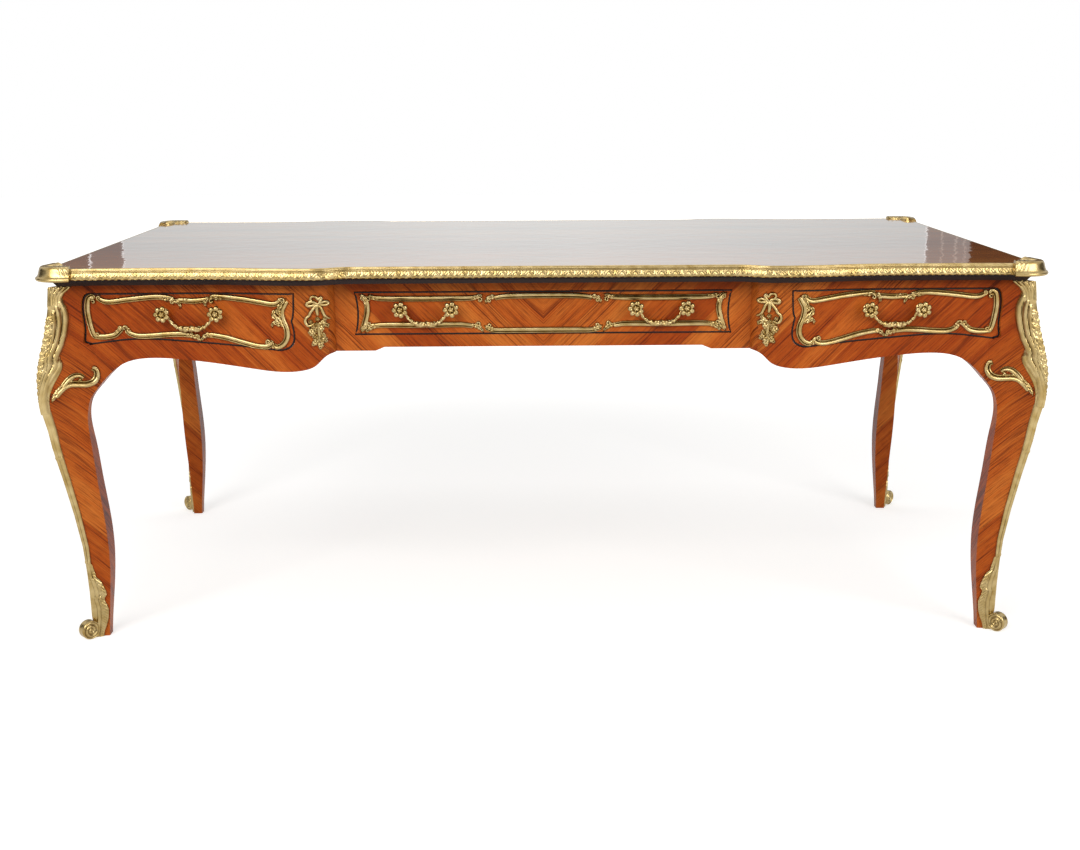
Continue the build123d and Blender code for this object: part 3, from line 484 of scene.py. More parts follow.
# Oak and beech: planed and left bare, so the grain is matt with small dark flecks.
def planed_timber(name, light, dark, band):
    material, tree = new_material(name)
    split = node(tree, "SeparateXYZ", {0: node(tree, "TexCoord")["Object"]})
    across = node(tree, "Math", {0: split[2], 1: split[0]}, operation="ADD")[0]
    grain = grain_noise(tree, across, split[1], band, 20.0, 4.0)
    flecks = grain_noise(tree, across, split[1], 1.2, 12.0, 1.0)
    colour = node(tree, "ValToRGB", {0: grain}, [(0.35, dark), (0.65, light)])[0]
    pitted = node(tree, "ValToRGB", {0: flecks}, [(0.34, grey(0.5)), (0.42, grey(0.0))])[0]
    fleck = (*(0.35 * c for c in dark), 1)
    colour = node(tree, "Mix", {0: pitted, 6: colour, 7: fleck}, data_type="RGBA")[2]
    bump = node(tree, "Bump", {"Height": flecks, "Strength": 0.2, "Distance": 0.0004})[0]
    links = {"Base Color": colour, "Roughness": 0.6, "IOR": 1.45, "Normal": bump}
    node(tree, "OutputMaterial", {"Surface": node(tree, "BsdfPrincipled", links)[0]})
    return material


# Gilt bronze: sand cast, chased and mercury gilt, then aged, so the high points are
# pale burnished gold; the recesses are painted dark brown, for dirt and for the shade in them.
def gilt_bronze(bright, worn, deep):
    material, tree = new_material("chased mercury gilt bronze")
    place = node(tree, "TexCoord")["Object"]
    bend = node(tree, "NewGeometry")["Pointiness"]
    # Tarnish lies in clouds of 18.2 mm. The sand of the mould is 0.2 mm, drawn as 1.43 mm.
    cloud = node(tree, "TexNoise", {"Vector": place, "Scale": 1 / (18.2 * MM), "Detail": 2.0})[0]
    grit = node(tree, "TexNoise", {"Vector": place, "Scale": 1 / (1.43 * MM), "Detail": 2.0})[0]
    gilt = node(tree, "ValToRGB", {0: cloud}, [(0.22, worn), (0.72, bright)])[0]
    # Painted shade: where pointiness is low, in hollows and creases, the deep colour is mixed in, together
    # with some dirt.
    dirt_and_shade = node(tree, "Math", {0: cloud, 1: 0.03, 2: bend}, operation="MULTIPLY_ADD")[0]
    recess_shade = node(tree, "ValToRGB", {0: dirt_and_shade}, [(0.455, grey(0.9)), (0.506, grey(0.0))])[0]
    colour = node(tree, "Mix", {0: recess_shade, 6: gilt, 7: (*deep, 1)}, data_type="RGBA")[2]
    rough = node(tree, "Math", {0: cloud, 1: 0.12, 2: 0.24}, operation="MULTIPLY_ADD")[0]
    bump = node(tree, "Bump", {"Height": grit, "Strength": 0.15, "Distance": 0.0003})[0]
    links = {"Base Color": colour, "Metallic": 1.0, "Roughness": rough, "Normal": bump}
    node(tree, "OutputMaterial", {"Surface": node(tree, "BsdfPrincipled", links)[0]})
    return material


# Ebonised pearwood: stained black and waxed, so it is almost black with a dull shine.
# Stringing is the same wood inlaid flush; its black line also stands for painted shade of the drawer gaps.
# Screws are turned steel, grey and bright.
def even_finish(name, colour, rough, metallic=0.0):
    material, tree = new_material(name)
    place = node(tree, "TexCoord")["Object"]
    # Wax and handling leave patches of 16.7 mm.
    cloud = node(tree, "TexNoise", {"Vector": place, "Scale": 1 / (16.7 * MM), "Detail": 3.0})[0]
    tones = [(0.3, tuple(0.7 * c for c in colour)), (0.7, colour)]
    tint = node(tree, "ValToRGB", {0: cloud}, tones)[0]
    mottle = node(tree, "Math", {0: cloud, 1: 0.15, 2: rough - 0.07}, operation="MULTIPLY_ADD")[0]
    links = {"Base Color": tint, "Metallic": metallic, "Roughness": mottle}
    if not metallic:
        links["IOR"] = 1.3
    node(tree, "OutputMaterial", {"Surface": node(tree, "BsdfPrincipled", links)[0]})
    return material


def chosen(wood):
    """Colours set in the panel for one wood or metal, as plain tuples."""
    settings = bpy.context.scene.desk_finishes
    return [tuple(getattr(settings, name)) for name in DeskFinishes.__annotations__ if name.startswith(wood)]


MAKERS = {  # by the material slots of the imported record, and the stringing that is added here
    "kingwood_veneer": lambda: kingwood(*chosen("veneer")),
    "top_veneer": lambda: polished_top(*chosen("top")),
    "gilt_bronze": lambda: gilt_bronze(*chosen("bronze")),
    "dark_moulding": lambda: even_finish("waxed ebonised moulding", *chosen("moulding"), 0.42),
    "stringing": lambda: even_finish("ebonised stringing", *chosen("stringing"), 0.5),
    "drawer_oak": lambda: planed_timber("planed oak linings", *chosen("oak"), 4.0),
    "carcase_beech": lambda: planed_timber("planed beech carcase", *chosen("beech"), 3.0),
    "screw_steel": lambda: even_finish("turned screw steel", *chosen("steel"), 0.35, 1.0),
}
FINISHES = {}


def finish_of(name):
    """The finish of that name, made when it is first asked for."""
    if name not in FINISHES:
        FINISHES[name] = MAKERS[name]()
    return FINISHES[name]


def dress(name, finish):
    """Give a CAD node a finish in every material slot."""
    data = NODES[name].data
    if not data.materials:
        data.materials.append(finish)
    for slot in NODES[name].material_slots:
        slot.material = finish


# ---------------------------------------------------------------- settings
def colour_setting(name, description, text):
    """Colour with its default as an sRGB hex colour."""
    return FloatVectorProperty(name=name, description=description, subtype="COLOR", default=linear(text))


def length_setting(name, description, metres):
    """Length with its default in metres."""
    return FloatProperty(name=name, description=description, default=metres, unit="LENGTH", precision=4)


class DeskFinishes(PropertyGroup):
    """Colours of the woods and metals."""

    veneer_light: colour_setting("Veneer, pale", "Palest leaves of the kingwood veneer", "#BE6A2A")
    veneer_middle: colour_setting("Veneer, middle", "Usual tone of the kingwood veneer", "#A9501A")
    veneer_dark: colour_setting("Veneer, dark", "Darkest leaves of the kingwood veneer", "#913B11")
    veneer_line: colour_setting("Veneer lines", "Growth lines and pores of the veneer", "#4C1B0C")
    top_light: colour_setting("Top, pale", "Palest leaves of the polished top", "#C87838")
    top_middle: colour_setting("Top, middle", "Usual tone of the polished top", "#B05A26")
    top_dark: colour_setting("Top, dark", "Darkest leaves of the polished top", "#8E3C18")
    top_line: colour_setting("Top lines", "Growth lines and pores of the polished top", "#3E150A")
    bronze_bright: colour_setting("Gilding, burnished", "Gilt bronze where it is burnished", "#B9A475")
    bronze_worn: colour_setting("Gilding, worn", "Gilt bronze where the gold is thin", "#997F49")
    # The recess colour is painted shade in the castings' hollows, together with their dirt.
    bronze_deep: colour_setting("Gilding, recesses", "Dirt in the recesses of the castings", "#45341A")
    moulding: colour_setting("Dark moulding", "Ebonised moulding under the top", "#22100D")
    # Stringing colour: the black of the inlay, also standing for painted shade in the drawer gaps.
    stringing: colour_setting("Stringing", "Black line inlaid round the drawer fronts", "#100808")
    oak_light: colour_setting("Oak, pale", "Palest grain of the drawer linings", "#C09A66")
    oak_dark: colour_setting("Oak, dark", "Darkest grain of the drawer linings", "#97733F")
    beech_light: colour_setting("Beech, pale", "Palest grain of the carcase inside", "#B98F60")
    beech_dark: colour_setting("Beech, dark", "Darkest grain of the carcase inside", "#9A7348")
    steel: colour_setting("Screws", "Turned steel of the screws", "#8E8E90")


class DeskMounts(PropertyGroup):
    """Sizes of the bronze ornament and the stringing with its painted gap shade."""

    rail_width: length_setting("Rail width", "Width of the reeded rails round the drawers", 0.0128)
    rail_rise: length_setting("Rail height", "How far the reeded rails stand off the veneer", 0.006)
    leaf_pitch: length_setting("Leaf spacing", "Length of one leaf tip along the edge of the top", 0.026)
    # The line's width covers the inlay and painted shade of the drawer gap.
    string_width: length_setting("Stringing width", "Width of the black line round the drawers", 0.0028)


class DeskStage(PropertyGroup):
    """Camera and light of the studio."""

    lens: FloatProperty(name="Lens", description="Camera lens", default=46.934, unit="CAMERA")
    pitch: FloatProperty(name="Tilt", description="Camera below the level", default=0.2345, subtype="ANGLE")
    distance: length_setting("Distance", "Camera to the middle of the desk", 3.2386)
    eye: length_setting("Eye height", "Camera above the floor", 1.1149)
    floor_colour: colour_setting("Floor", "Colour of the studio floor", "#D6D5D3")


CAMERA_ASIDE, CAMERA_ROLL, CAMERA_YAW = -0.0377, 0.00466863, -0.01171532
WORLD_LEVEL = 0.36
FLOOR_SIDE = 24
# Glow of the floor near the desk and far from it, and the distances between which it changes.
FLOOR_GLOW, FLOOR_FADE = (0.56, 0.97), (1.2, 4.0)
# Boards that glow with their tone and are seen only in reflections: painted reflections in the bronze and
# the polished top.
REFLECTION_BOARDS = [  # name, middle, width and height, facing, tone
    ("front_board", (0, -6.5, 1.9), (7.0, 2.6), (0, 1, 0), "#3A3632"),
    ("back_board", (0, 6.5, 3.6), (7.0, 2.0), (0, -1, 0), "#3A3632"),
    ("right_board", (6.5, 0, 1.9), (6.0, 2.4), (-1, 0, 0), "#3A3632"),
    ("left_board", (-6.5, 0, 1.9), (6.0, 2.4), (1, 0, 0), "#3A3632"),
    ("right_flag", (3.1335, 4.0, 1.5), (1.753, 3.0), (0, -1, 0), "#4C3828"),
    ("right_screen", (2.1443, 4.0, 1.5), (0.2254, 3.0), (0, -1, 0), "#96908C"),
    ("right_slat_1", (2.108, 3.99, 1.5), (0.008, 3.0), (0, -1, 0), "#B8AEA6"),
    ("right_slat_2", (2.180, 3.99, 1.5), (0.010, 3.0), (0, -1, 0), "#B8AEA6"),
    ("right_slat_3", (2.228, 3.99, 1.5), (0.006, 3.0), (0, -1, 0), "#B8AEA6"),
    ("left_screen", (-2.1765, 4.0, 1.5), (0.167, 3.0), (0, -1, 0), "#86807C"),
    ("left_wing", (-3.224, 4.0, 1.5), (1.912, 3.0), (0, -1, 0), "#7A726C"),
    ("back_sweep", (-0.031, 4.02, 1.7), (4.126, 3.4), (0, -1, 0), "#E6EAE9"),
]
STUDIO_LIGHTS = [  # name, place, aim, width and height, watts
    ("key_light", (-1.6, -3.2, 2.5), (0, 0, 0.66), (2.4, 1.6), 94),
    ("fill_light", (2.4, -2.8, 1.9), (0, 0, 0.66), (2.0, 1.6), 58),
    ("top_light", (0, 0.6, 3.6), (0, 0, 0.6), (3.5, 2.0), 34),
]


def seen_plainly(tree):
    """1 for rays from the camera, from glass and from a mirror, else 0."""
    path = node(tree, "LightPath")
    rays = {0: path["Is Camera Ray"], 1: path["Is Transmission Ray"]}
    seen = node(tree, "Math", rays, operation="MAXIMUM")[0]
    return node(tree, "Math", {0: seen, 1: path["Is Glossy Ray"]}, operation="MAXIMUM")[0]


def stage_board(name, place, size, facing, finish):
    """Flat board of the studio; returns it and its material's tree."""
    mesh = bpy.data.meshes.new(name)
    x, y = size[0] / 2, size[1] / 2
    mesh.from_pydata([(-x, -y, 0), (x, -y, 0), (x, y, 0), (-x, y, 0)], [], [(0, 1, 2, 3)])
    board = bpy.data.objects.new(name, mesh)
    board.location = place
    board.rotation_mode = "QUATERNION"
    board.rotation_quaternion = Vector(facing).to_track_quat("Z", "Y")
    bpy.context.scene.collection.objects.link(board)
    material, tree = new_material(finish)
    mesh.materials.append(material)
    return board, tree


def place_camera(scene, settings):
    """Camera in front of the desk that looks a little down."""
    eye = bpy.data.cameras.new("eye")
    eye.lens, eye.sensor_width = settings.lens, 36.0
    eye.clip_start, eye.clip_end = 0.05, 60
    camera = bpy.data.objects.new("eye", eye)
    camera.location = (CAMERA_ASIDE, -settings.distance, settings.eye)
    camera.rotation_euler = (math.pi / 2 - settings.pitch, CAMERA_ROLL, CAMERA_YAW)
    scene.collection.objects.link(camera)
    scene.camera = camera


def light_all_round(scene):
    """Soft light from all round, which the camera and mirrors see as white."""
    world = bpy.data.worlds.new("studio")
    scene.world = world
    world.use_nodes = True
    tree = world.node_tree
    tree.nodes.clear()
    lit = node(tree, "Background", {0: (1, 1, 1, 1), 1: WORLD_LEVEL})[0]
    shown = node(tree, "Background", {0: (1, 1, 1, 1), 1: 1.0})[0]
    mixed = node(tree, "MixShader", {0: seen_plainly(tree), 1: lit, 2: shown})[0]
    node(tree, "OutputWorld", {"Surface": mixed})


# Floor of rolled paper: pale and matt, without a sheen of its own. Away from the desk the
# lamps fade, so it glows there and reads as one pale sheet.
def lay_floor(settings):
    sides = (FLOOR_SIDE, FLOOR_SIDE)
    tree = stage_board("studio_floor", (0, 0, 0), sides, (0, 0, 1), "rolled studio paper")[1]
    matt = node(tree, "BsdfDiffuse", {0: (*settings.floor_colour, 1)})[0]
    place = node(tree, "TexCoord")["Object"]
    away = node(tree, "VectorMath", {0: place}, operation="LENGTH")[1]
    ranges = {"From Min": FLOOR_FADE[0], "From Max": FLOOR_FADE[1]}
    ranges.update({"Value": away, "To Min": FLOOR_GLOW[0], "To Max": FLOOR_GLOW[1]})
    fade = node(tree, "MapRange", ranges, interpolation_type="SMOOTHSTEP")[0]
    level = node(tree, "Math", {0: seen_plainly(tree), 1: fade}, operation="MULTIPLY")[0]
    glow = node(tree, "Emission", {0: (1, 1, 1, 1), 1: level})[0]
    node(tree, "OutputMaterial", {"Surface": node(tree, "AddShader", {0: matt, 1: glow})[0]})


# Boards that glow with their own tone, unlit by the lamps, and that only reflections see:
# painted reflections that give the bronze its dark side and show in the polish at both ends of the top.
def hang_reflection_boards():
    for name, place, size, facing, tone in REFLECTION_BOARDS:
        board, tree = stage_board(name, place, size, facing, "woven studio cloth " + tone[1:])
        # Painted falloff: away from its middle a wide board glows up to a fifth less.
        split = node(tree, "SeparateXYZ", {0: node(tree, "TexCoord")["Object"]})
        aside = node(tree, "Math", {0: split[0]}, operation="ABSOLUTE")[0]
        ranges = {"Value": aside, "From Min": 0.3, "From Max": 2.1, "To Min": 1.0, "To Max": 0.8}
        level = node(tree, "MapRange", ranges)[0]
        glow = node(tree, "Emission", {0: (*linear(tone), 1), 1: level})[0]
        node(tree, "OutputMaterial", {"Surface": glow})
        board.visible_camera = board.visible_diffuse = board.visible_shadow = False


def hang_lamps(scene):
    """Soft rectangular lamps."""
    for name, place, aim, size, power in STUDIO_LIGHTS:
        lamp = bpy.data.lights.new(name, "AREA")
        lamp.shape = "RECTANGLE"
        lamp.size, lamp.size_y = size
        lamp.energy = power
        holder = bpy.data.objects.new(name, lamp)
        holder.location = place
        holder.rotation_mode = "QUATERNION"
        holder.rotation_quaternion = (Vector(aim) - Vector(place)).to_track_quat("-Z", "Y")
        scene.collection.objects.link(holder)


class DESK_OT_stage(Operator):
    """Floor, soft lights and the camera."""

    bl_idname = "desk.stage"
    bl_label = "Studio"

    def execute(self, context):
        scene = context.scene
        scene.view_settings.view_transform = "Standard"
        place_camera(scene, scene.desk_stage)
        light_all_round(scene)
        lay_floor(scene.desk_stage)
        hang_reflection_boards()
        hang_lamps(scene)
        return {"FINISHED"}


class DESK_OT_wood(Operator):
    """Veneer, top, linings and screws on the CAD nodes that keep their shape."""

    bl_idname = "desk.wood"
    bl_label = "Wood"

    def execute(self, context):
        for subpart in frame["record"]["subparts"]:
            dress(subpart["node"], finish_of(subpart["material_slot"]))
        return {"FINISHED"}


# ---------------------------------------------------------------- drawer frames
# Centre lines of the rails on the right drawer, (x, z) in millimetres. A leaf also has its half
# width and its number of lobes.
SIDE_RAILS = [
    [(509, 708), (514, 700), (520, 687), (518, 670), (511, 650), (512, 633), (521, 620), (533, 615),
     (539, 620)],
    [(896, 711), (899, 717), (906, 713), (909, 703), (910, 687), (908, 669), (905, 652), (901, 639),
     (895, 634)],
    [(888, 719), (882, 710), (865, 706), (831, 710), (798, 713.5), (771, 715.3), (754, 714.3),
     (739, 711.5)],
    [(730, 708), (716, 707.5), (698, 706.6), (680, 708), (668, 709)],
    [(664, 713), (655, 715.4), (630, 713.5), (597, 710), (563, 705), (538, 701.5), (526, 705), (521, 713)],
    [(898, 636), (877, 635.8), (860, 639), (851, 646), (844, 652), (840, 649)],
    [(835, 650), (830, 643), (813, 637), (786, 637), (755, 639.4), (728, 640), (706, 637.5)],
    [(675, 637.5), (661, 637), (634, 632), (601, 623), (574, 616.6), (554, 615.7), (544, 621), (547, 627)],
]
SIDE_LEAVES = [
    ([(766, 712), (745, 711), (731, 706), (724, 696), (727, 691)], 6.5, 5),
    ([(722, 709), (712, 709), (703, 707)], 4.5, 3),
    ([(662, 712), (671, 710), (675, 702), (673, 694)], 6.0, 4),
    ([(640, 710), (655, 712), (668, 714)], 4.5, 3),
    ([(716, 638), (704, 637), (694, 632), (687, 624)], 6.0, 4),
    ([(664, 634), (674, 638), (682, 633), (688, 625)], 6.0, 4),
    ([(826, 644), (833, 652), (841, 655)], 4.0, 3),
    ([(860, 639), (851, 648), (842, 654)], 4.0, 3),
    ([(519, 676), (527, 686), (522, 699), (510, 713)], 6.0, 4),
    ([(518, 664), (530, 672), (537, 682), (531, 693)], 6.5, 4),
    ([(516, 658), (529, 662), (538, 664), (541, 653)], 5.5, 4),
    ([(532, 612), (541, 618), (538, 627)], 4.0, 3),
]
CENTRE_RAILS = [
    [(367, 713), (358, 706), (354, 686), (358, 664), (367, 641)],
    [(350, 711), (329, 707), (266, 706), (193, 706), (145, 707), (126, 711)],
    [(-98, 706), (-80, 709.5), (-40, 711), (40, 711), (80, 709.5), (98, 706)],
    [(349, 651), (316, 653), (243, 652.5), (170, 653), (142, 650)],
    [(-117, 646), (-97, 641), (-50, 641), (50, 641), (97, 641), (117, 646)],
]
CENTRE_LEAVES = [
    ([(146, 706), (132, 709), (121, 714)], 5.5, 4),
    ([(92, 709), (106, 708), (114, 702), (116, 694)], 6.0, 4),
    ([(146, 652), (134, 650), (125, 643), (121, 636)], 6.0, 4),
    ([(96, 641), (108, 645), (120, 651)], 5.5, 4),
    ([(356, 688), (357, 702), (370, 716)], 6.0, 4),
    ([(356, 668), (358, 652), (370, 637)], 6.0, 4),
    ([(330, 707), (343, 709), (352, 716)], 5.0, 3),
    ([(330, 652), (344, 650), (355, 642), (360, 636)], 6.0, 4),
]
# Rolled ends: place, radius, starting angle and direction of winding.
SIDE_CURLS = [
    ((885, 714), 5.0, -1.2, 1), ((741, 705), 5.2, 1.2, 1), ((661, 706), 5.2, 1.9, -1),
    ((519, 710), 5.0, -2.6, -1), ((838, 653), 5.2, -2.8, -1), ((846, 653), 4.6, -0.3, 1),
    ((694, 634), 4.8, 1.4, 1), ((549, 626), 5.6, -1.4, 1), ((893, 640), 4.6, -0.6, 1),
    ((897, 706), 4.4, 0.6, 1),
]
CENTRE_CURLS = [
    ((352, 706), 4.6, 1.2, 1), ((128, 703), 5.0, 1.4, 1), ((108, 702), 5.0, 1.7, -1),
    ((352, 656), 4.6, -1.2, -1), ((132, 655), 5.0, -1.4, -1), ((108, 651), 5.0, -1.7, 1),
    ((363, 707), 4.6, 2.2, -1), ((363, 648), 4.6, -2.2, 1),
]


def rail(casting, lay, route):
    """One reeded rail of a drawer frame, thinner at its curled ends."""
    sizes = bpy.context.scene.desk_mounts
    half, rise = sizes.rail_width / 2 / MM, sizes.rail_rise / MM
    relief(casting, lay, route, swell(half, 0.62, 0.2), swell(rise, 0.6, 0.3), reeds, across=15)


def is_symmetrical(route):
    """Whether a route runs across the middle, as far on one side as on the other."""
    return route[0][0] == -route[-1][0]


def frame_of_rails(casting, lay, rails, leaves, curls, rise, sides=(1, -1)):
    """A frame's rails, leaves and rolled ends, as drawn (side 1) and mirrored about the middle (-1)."""
    for side in sides:
        for route in rails:
            if side > 0 or not is_symmetrical(route):
                rail(casting, lay, [(side * x, z) for x, z in route])
        for route, width, lobes in leaves:
            if side > 0 or not is_symmetrical(route):
                leaf(casting, lay, [(side * x, z) for x, z in route], width, rise, lobes)
        for (x, z), radius, start, way in curls:
            angle = start if side > 0 else math.pi - start
            curl(casting, lay, (side * x, z), radius, angle, side * way)


# Rails on the right end, (y, z), from the middle forwards; the other half mirrors them.
END_RAILS = [
    [(-336, 707), (-345, 703), (-349, 690), (-345, 668), (-336, 646), (-331, 630)],
    [(-328, 709), (-310, 704), (-240, 701), (-160, 703), (-96, 707), (-72, 704)],
    [(-52, 704), (-34, 709), (0, 711), (34, 709), (52, 704)],
    [(-326, 628), (-300, 632), (-240, 631), (-160, 626), (-96, 622), (-70, 626)],
    [(-50, 624), (-34, 617), (0, 614), (34, 617), (50, 624)],
]
END_LEAVES = [
    ([(-92, 706), (-78, 707), (-66, 712)], 6.0, 4),
    ([(-48, 706), (-58, 706), (-66, 700), (-68, 692)], 6.0, 4),
    ([(-92, 622), (-78, 622), (-66, 616)], 6.0, 4),
    ([(-46, 622), (-58, 624), (-66, 631), (-68, 638)], 6.0, 4),
    ([(-344, 678), (-340, 696), (-328, 714)], 6.0, 4),
    ([(-342, 660), (-338, 644), (-324, 624)], 6.0, 4),
    ([(-14, 712), (0, 700), (14, 712)], 4.0, 3),
]
END_CURLS = [
    ((-74, 700), 4.8, 1.2, 1), ((-54, 700), 4.8, 1.9, -1), ((-72, 630), 4.8, -1.2, -1),
    ((-52, 628), 4.8, -1.9, 1),
]
SIDE_LEAF_RISE, LEAF_RISE = 7.4, 7.0


# ---------------------------------------------------------------- handles
PIN_DEPTH = 11.0  # mm from a drawer's face to the middle of its bails' pins
PIN_END = 5.5  # mm that a bail reaches past the middle of each post
BAIL_DROPS = [(5, 0), (-6, 0), (-9.5, -9), (-16, -19), (-26, -27.5), (-38, -31)]  # past the post, down


def posts_of(joint):
    """Middle x, y and z of a bail's pins and half the distance between its posts, in millimetres."""
    low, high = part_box(joint["child"])
    return (*(value / MM for value in joint["pos_m"]), (high[0] - low[0]) / 2 / MM - PIN_END)


BAILS = {j["child"]: (j["parent"], *posts_of(j)) for j in frame["joints"] if j["child"].startswith("bail_")}


def flower_head(casting, spot):
    """Post with a cupped flower of seven petals on its end, which stands on a drawer's face."""
    post = [(9, -1), (9, 1.2), (7.5, 2.4), (4.6, 3.2), (4.4, 19), (6, 21.5)]
    turned(casting, spot, post)
    outside = [(5, 20.5), (11.0, 20.4), (15.4, 22.0), (16.9, 25.0), (15.4, 28.4)]
    inside = [(11.6, 29.8), (8.0, 28.2), (6.4, 24.5), (5.2, 22.0), (0.6, 21.6)]
    turned(casting, spot, outside + inside, 7, 0.26, 84)
    heart = [(6.4, 21.5), (6.4, 25.6), (5.4, 28.8), (3.7, 29.6), (2.2, 28.4), (0.5, 27.8)]
    turned(casting, spot, heart, 5, 0.3, 60)


def bail_route(x, y, z, half):
    """Centre line of a hanging bail."""
    side = [(half + past, drop) for past, drop in BAIL_DROPS]
    route = side + [(-across, drop) for across, drop in reversed(side)]
    return smooth([(x + across, y, z + drop) for across, drop in route], 190)


def bail_radius(u, angle):
    """Twisted necks, and a knot of overlapping leaves at the middle."""
    out = np.abs(u - 0.5) * 2
    neck = 2.9 + 0.6 * np.cos(2 * angle + 80 * u)
    lobes = 0.5 + 0.5 * np.cos(2 * np.pi * out / 0.15)
    leaves = 0.55 + 0.45 * np.cos(4 * angle + 26 * out)
    knot = np.clip(1 - (out / 0.33) ** 6, 0, 1) * (1.3 + 2.0 * lobes + 1.6 * leaves)
    collar = 1.9 * np.exp(-(((out - 0.36) / 0.022) ** 2)) + 1.2 * np.exp(-(((out - 0.46) / 0.02) ** 2))
    pin = np.clip((out - 0.86) / 0.04, 0, 1)
    return (neck + knot + collar) * (1 - pin) + 2.5 * pin


class DESK_OT_drawer_mounts(Operator):
    """Chased frames and flower-headed posts of the three drawers and of the sham ones behind."""

    bl_idname = "desk.drawer_mounts"
    bl_label = "Drawer mounts"

    def execute(self, context):
        made = {"drawer_right": Casting(), "drawer_left": Casting(), "drawer_centre": Casting()}
        for body, side in (("drawer_right", 1), ("drawer_left", -1)):
            shapes = (SIDE_RAILS, SIDE_LEAVES, SIDE_CURLS, SIDE_LEAF_RISE)
            frame_of_rails(made[body], lay_front, *shapes, sides=(side,))
        shapes = (CENTRE_RAILS, CENTRE_LEAVES, CENTRE_CURLS, LEAF_RISE)
        frame_of_rails(made["drawer_centre"], lay_front, *shapes)
        for drawer, x, y, z, half in BAILS.values():
            for across in (-half, half):
                flower_head(made[drawer], (x + across, y + PIN_DEPTH, z))
        for body, casting in made.items():
            casting.build(body + "_frame", body, [body + "_mounts"])
            casting.build(body + "_frame_back", "carcase", ["carcase_mounts"], side=BEHIND)
        ends = Casting()
        frame_of_rails(ends, lay_end, END_RAILS, END_LEAVES, END_CURLS, LEAF_RISE)
        ends.build("end_frame_right", "carcase", ["carcase_mounts"])
        ends.build("end_frame_left", "carcase", ["carcase_mounts"], side=LEFT)
        return {"FINISHED"}


class DESK_OT_bails(Operator):
    """Swinging bail handles, front and back."""

    bl_idname = "desk.bails"
    bl_label = "Bail handles"

    def execute(self, context):
        for name, (_, *pins) in BAILS.items():
            casting = Casting()
            tube(casting, bail_route(*pins), bail_radius)
            for body, side in ((name, FRONT), ("back_" + name, BEHIND)):
                casting.build(body + "_cast", body, [body], side=side)
        return {"FINISHED"}


# ---------------------------------------------------------------- mounts that clasp the legs
# Cabriole leg: height, outer arris past the datum, inner face, front face, hollow.
LEG_STATIONS = np.array([
    (0, -4, 31, -9, 0.8), (60, -4, 36, -8, 0.8), (130, -2.5, 42.5, -6, 0.8), (200, 2, 45, -2, 1),
    (271, 11, 41.5, 2, 1.5), (346, 23, 35, 5, 2.5), (420, 36, 29, 6, 3), (470, 40.6, 24.5, 0, 3.5),
    (492, 42.5, 26, -4, 3.7), (509, 43, 30.5, -9, 4), (521, 42.7, 37.5, -13, 4.3), (532, 42, 46, -16, 4.5),
    (555, 40, 46, -17, 4.5), (590, 34, 46, -17, 5), (640, 22, 46, -17, 5), (690, 14, 46, -17, 4),
    (742, 8, 46, -17, 3),
])
# The datum that stations are measured from, in mm sideways and forwards: the widest station
# reaches from there to the inner sides of the leg's box.
LEG_LOW, LEG_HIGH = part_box("leg_front_right")
LEG_DATUM = (LEG_LOW[0] / MM + LEG_STATIONS[:, 2].max(), LEG_STATIONS[:, 2].max() - LEG_HIGH[1] / MM)
# Height, arris past the datum, width on each face.
CHUTE_STATIONS = np.array([
    (490, 51.5, 15.5), (500, 52.8, 15.8), (512, 54, 16.8), (527, 55, 19.5), (540, 55, 24), (550, 55, 28.5),
    (560, 54.5, 33.5), (572, 53.5, 38.5), (581, 52, 40.5), (590, 51, 40), (597, 50, 36), (603, 48.5, 33.5),
    (610, 47, 34.5), (622, 44, 37), (643, 39.5, 38.5), (660, 36.5, 38.5), (676, 33.5, 37.5),
    (690, 31.5, 35), (700, 30, 31), (710, 28.7, 26), (718, 27.8, 24), (726, 27, 27), (733, 26.4, 34),
    (738, 26.1, 38), (741, 26, 36),
])
SABOT_STATIONS = np.array([
    (0, 0.5, 20), (12, 0.5, 22.5), (26, 0.5, 28), (40, 0.5, 32.5), (54, 1, 34.5), (62, 1, 35),
    (70, 1, 32.5), (80, 1.2, 29), (86, 1.2, 29), (93, 1.3, 34), (101, 1.4, 33), (110, 1.6, 30),
    (119, 2, 27), (127, 2.2, 23), (132, 2.4, 17), (140, 2.7, 16), (150, 3, 13.5), (158, 3.4, 12.5),
    (166, 3.8, 8),
])
STRIP_STATIONS = np.array([
    (160, 3.6, 10.5), (200, 6, 12), (270, 15, 13), (345, 27, 13.8), (382, 33.5, 14.2), (420, 40, 15),
    (455, 44.3, 15.2), (495, 51.5, 15.5),
])


NOSE = 13.0  # mm from the arris over which relief turns from the corner to the face
EASE, EASE_WIDTH = 2.4, 9.0  # how far the arris itself is eased, and how wide
CORE = 3.0  # mm of wood left between a mount's back and the leg's inner faces


def at_height(stations, z):
    """The values of a table of stations at a height."""
    return [np.interp(z, stations[:, 0], column) for column in stations.T[1:]]


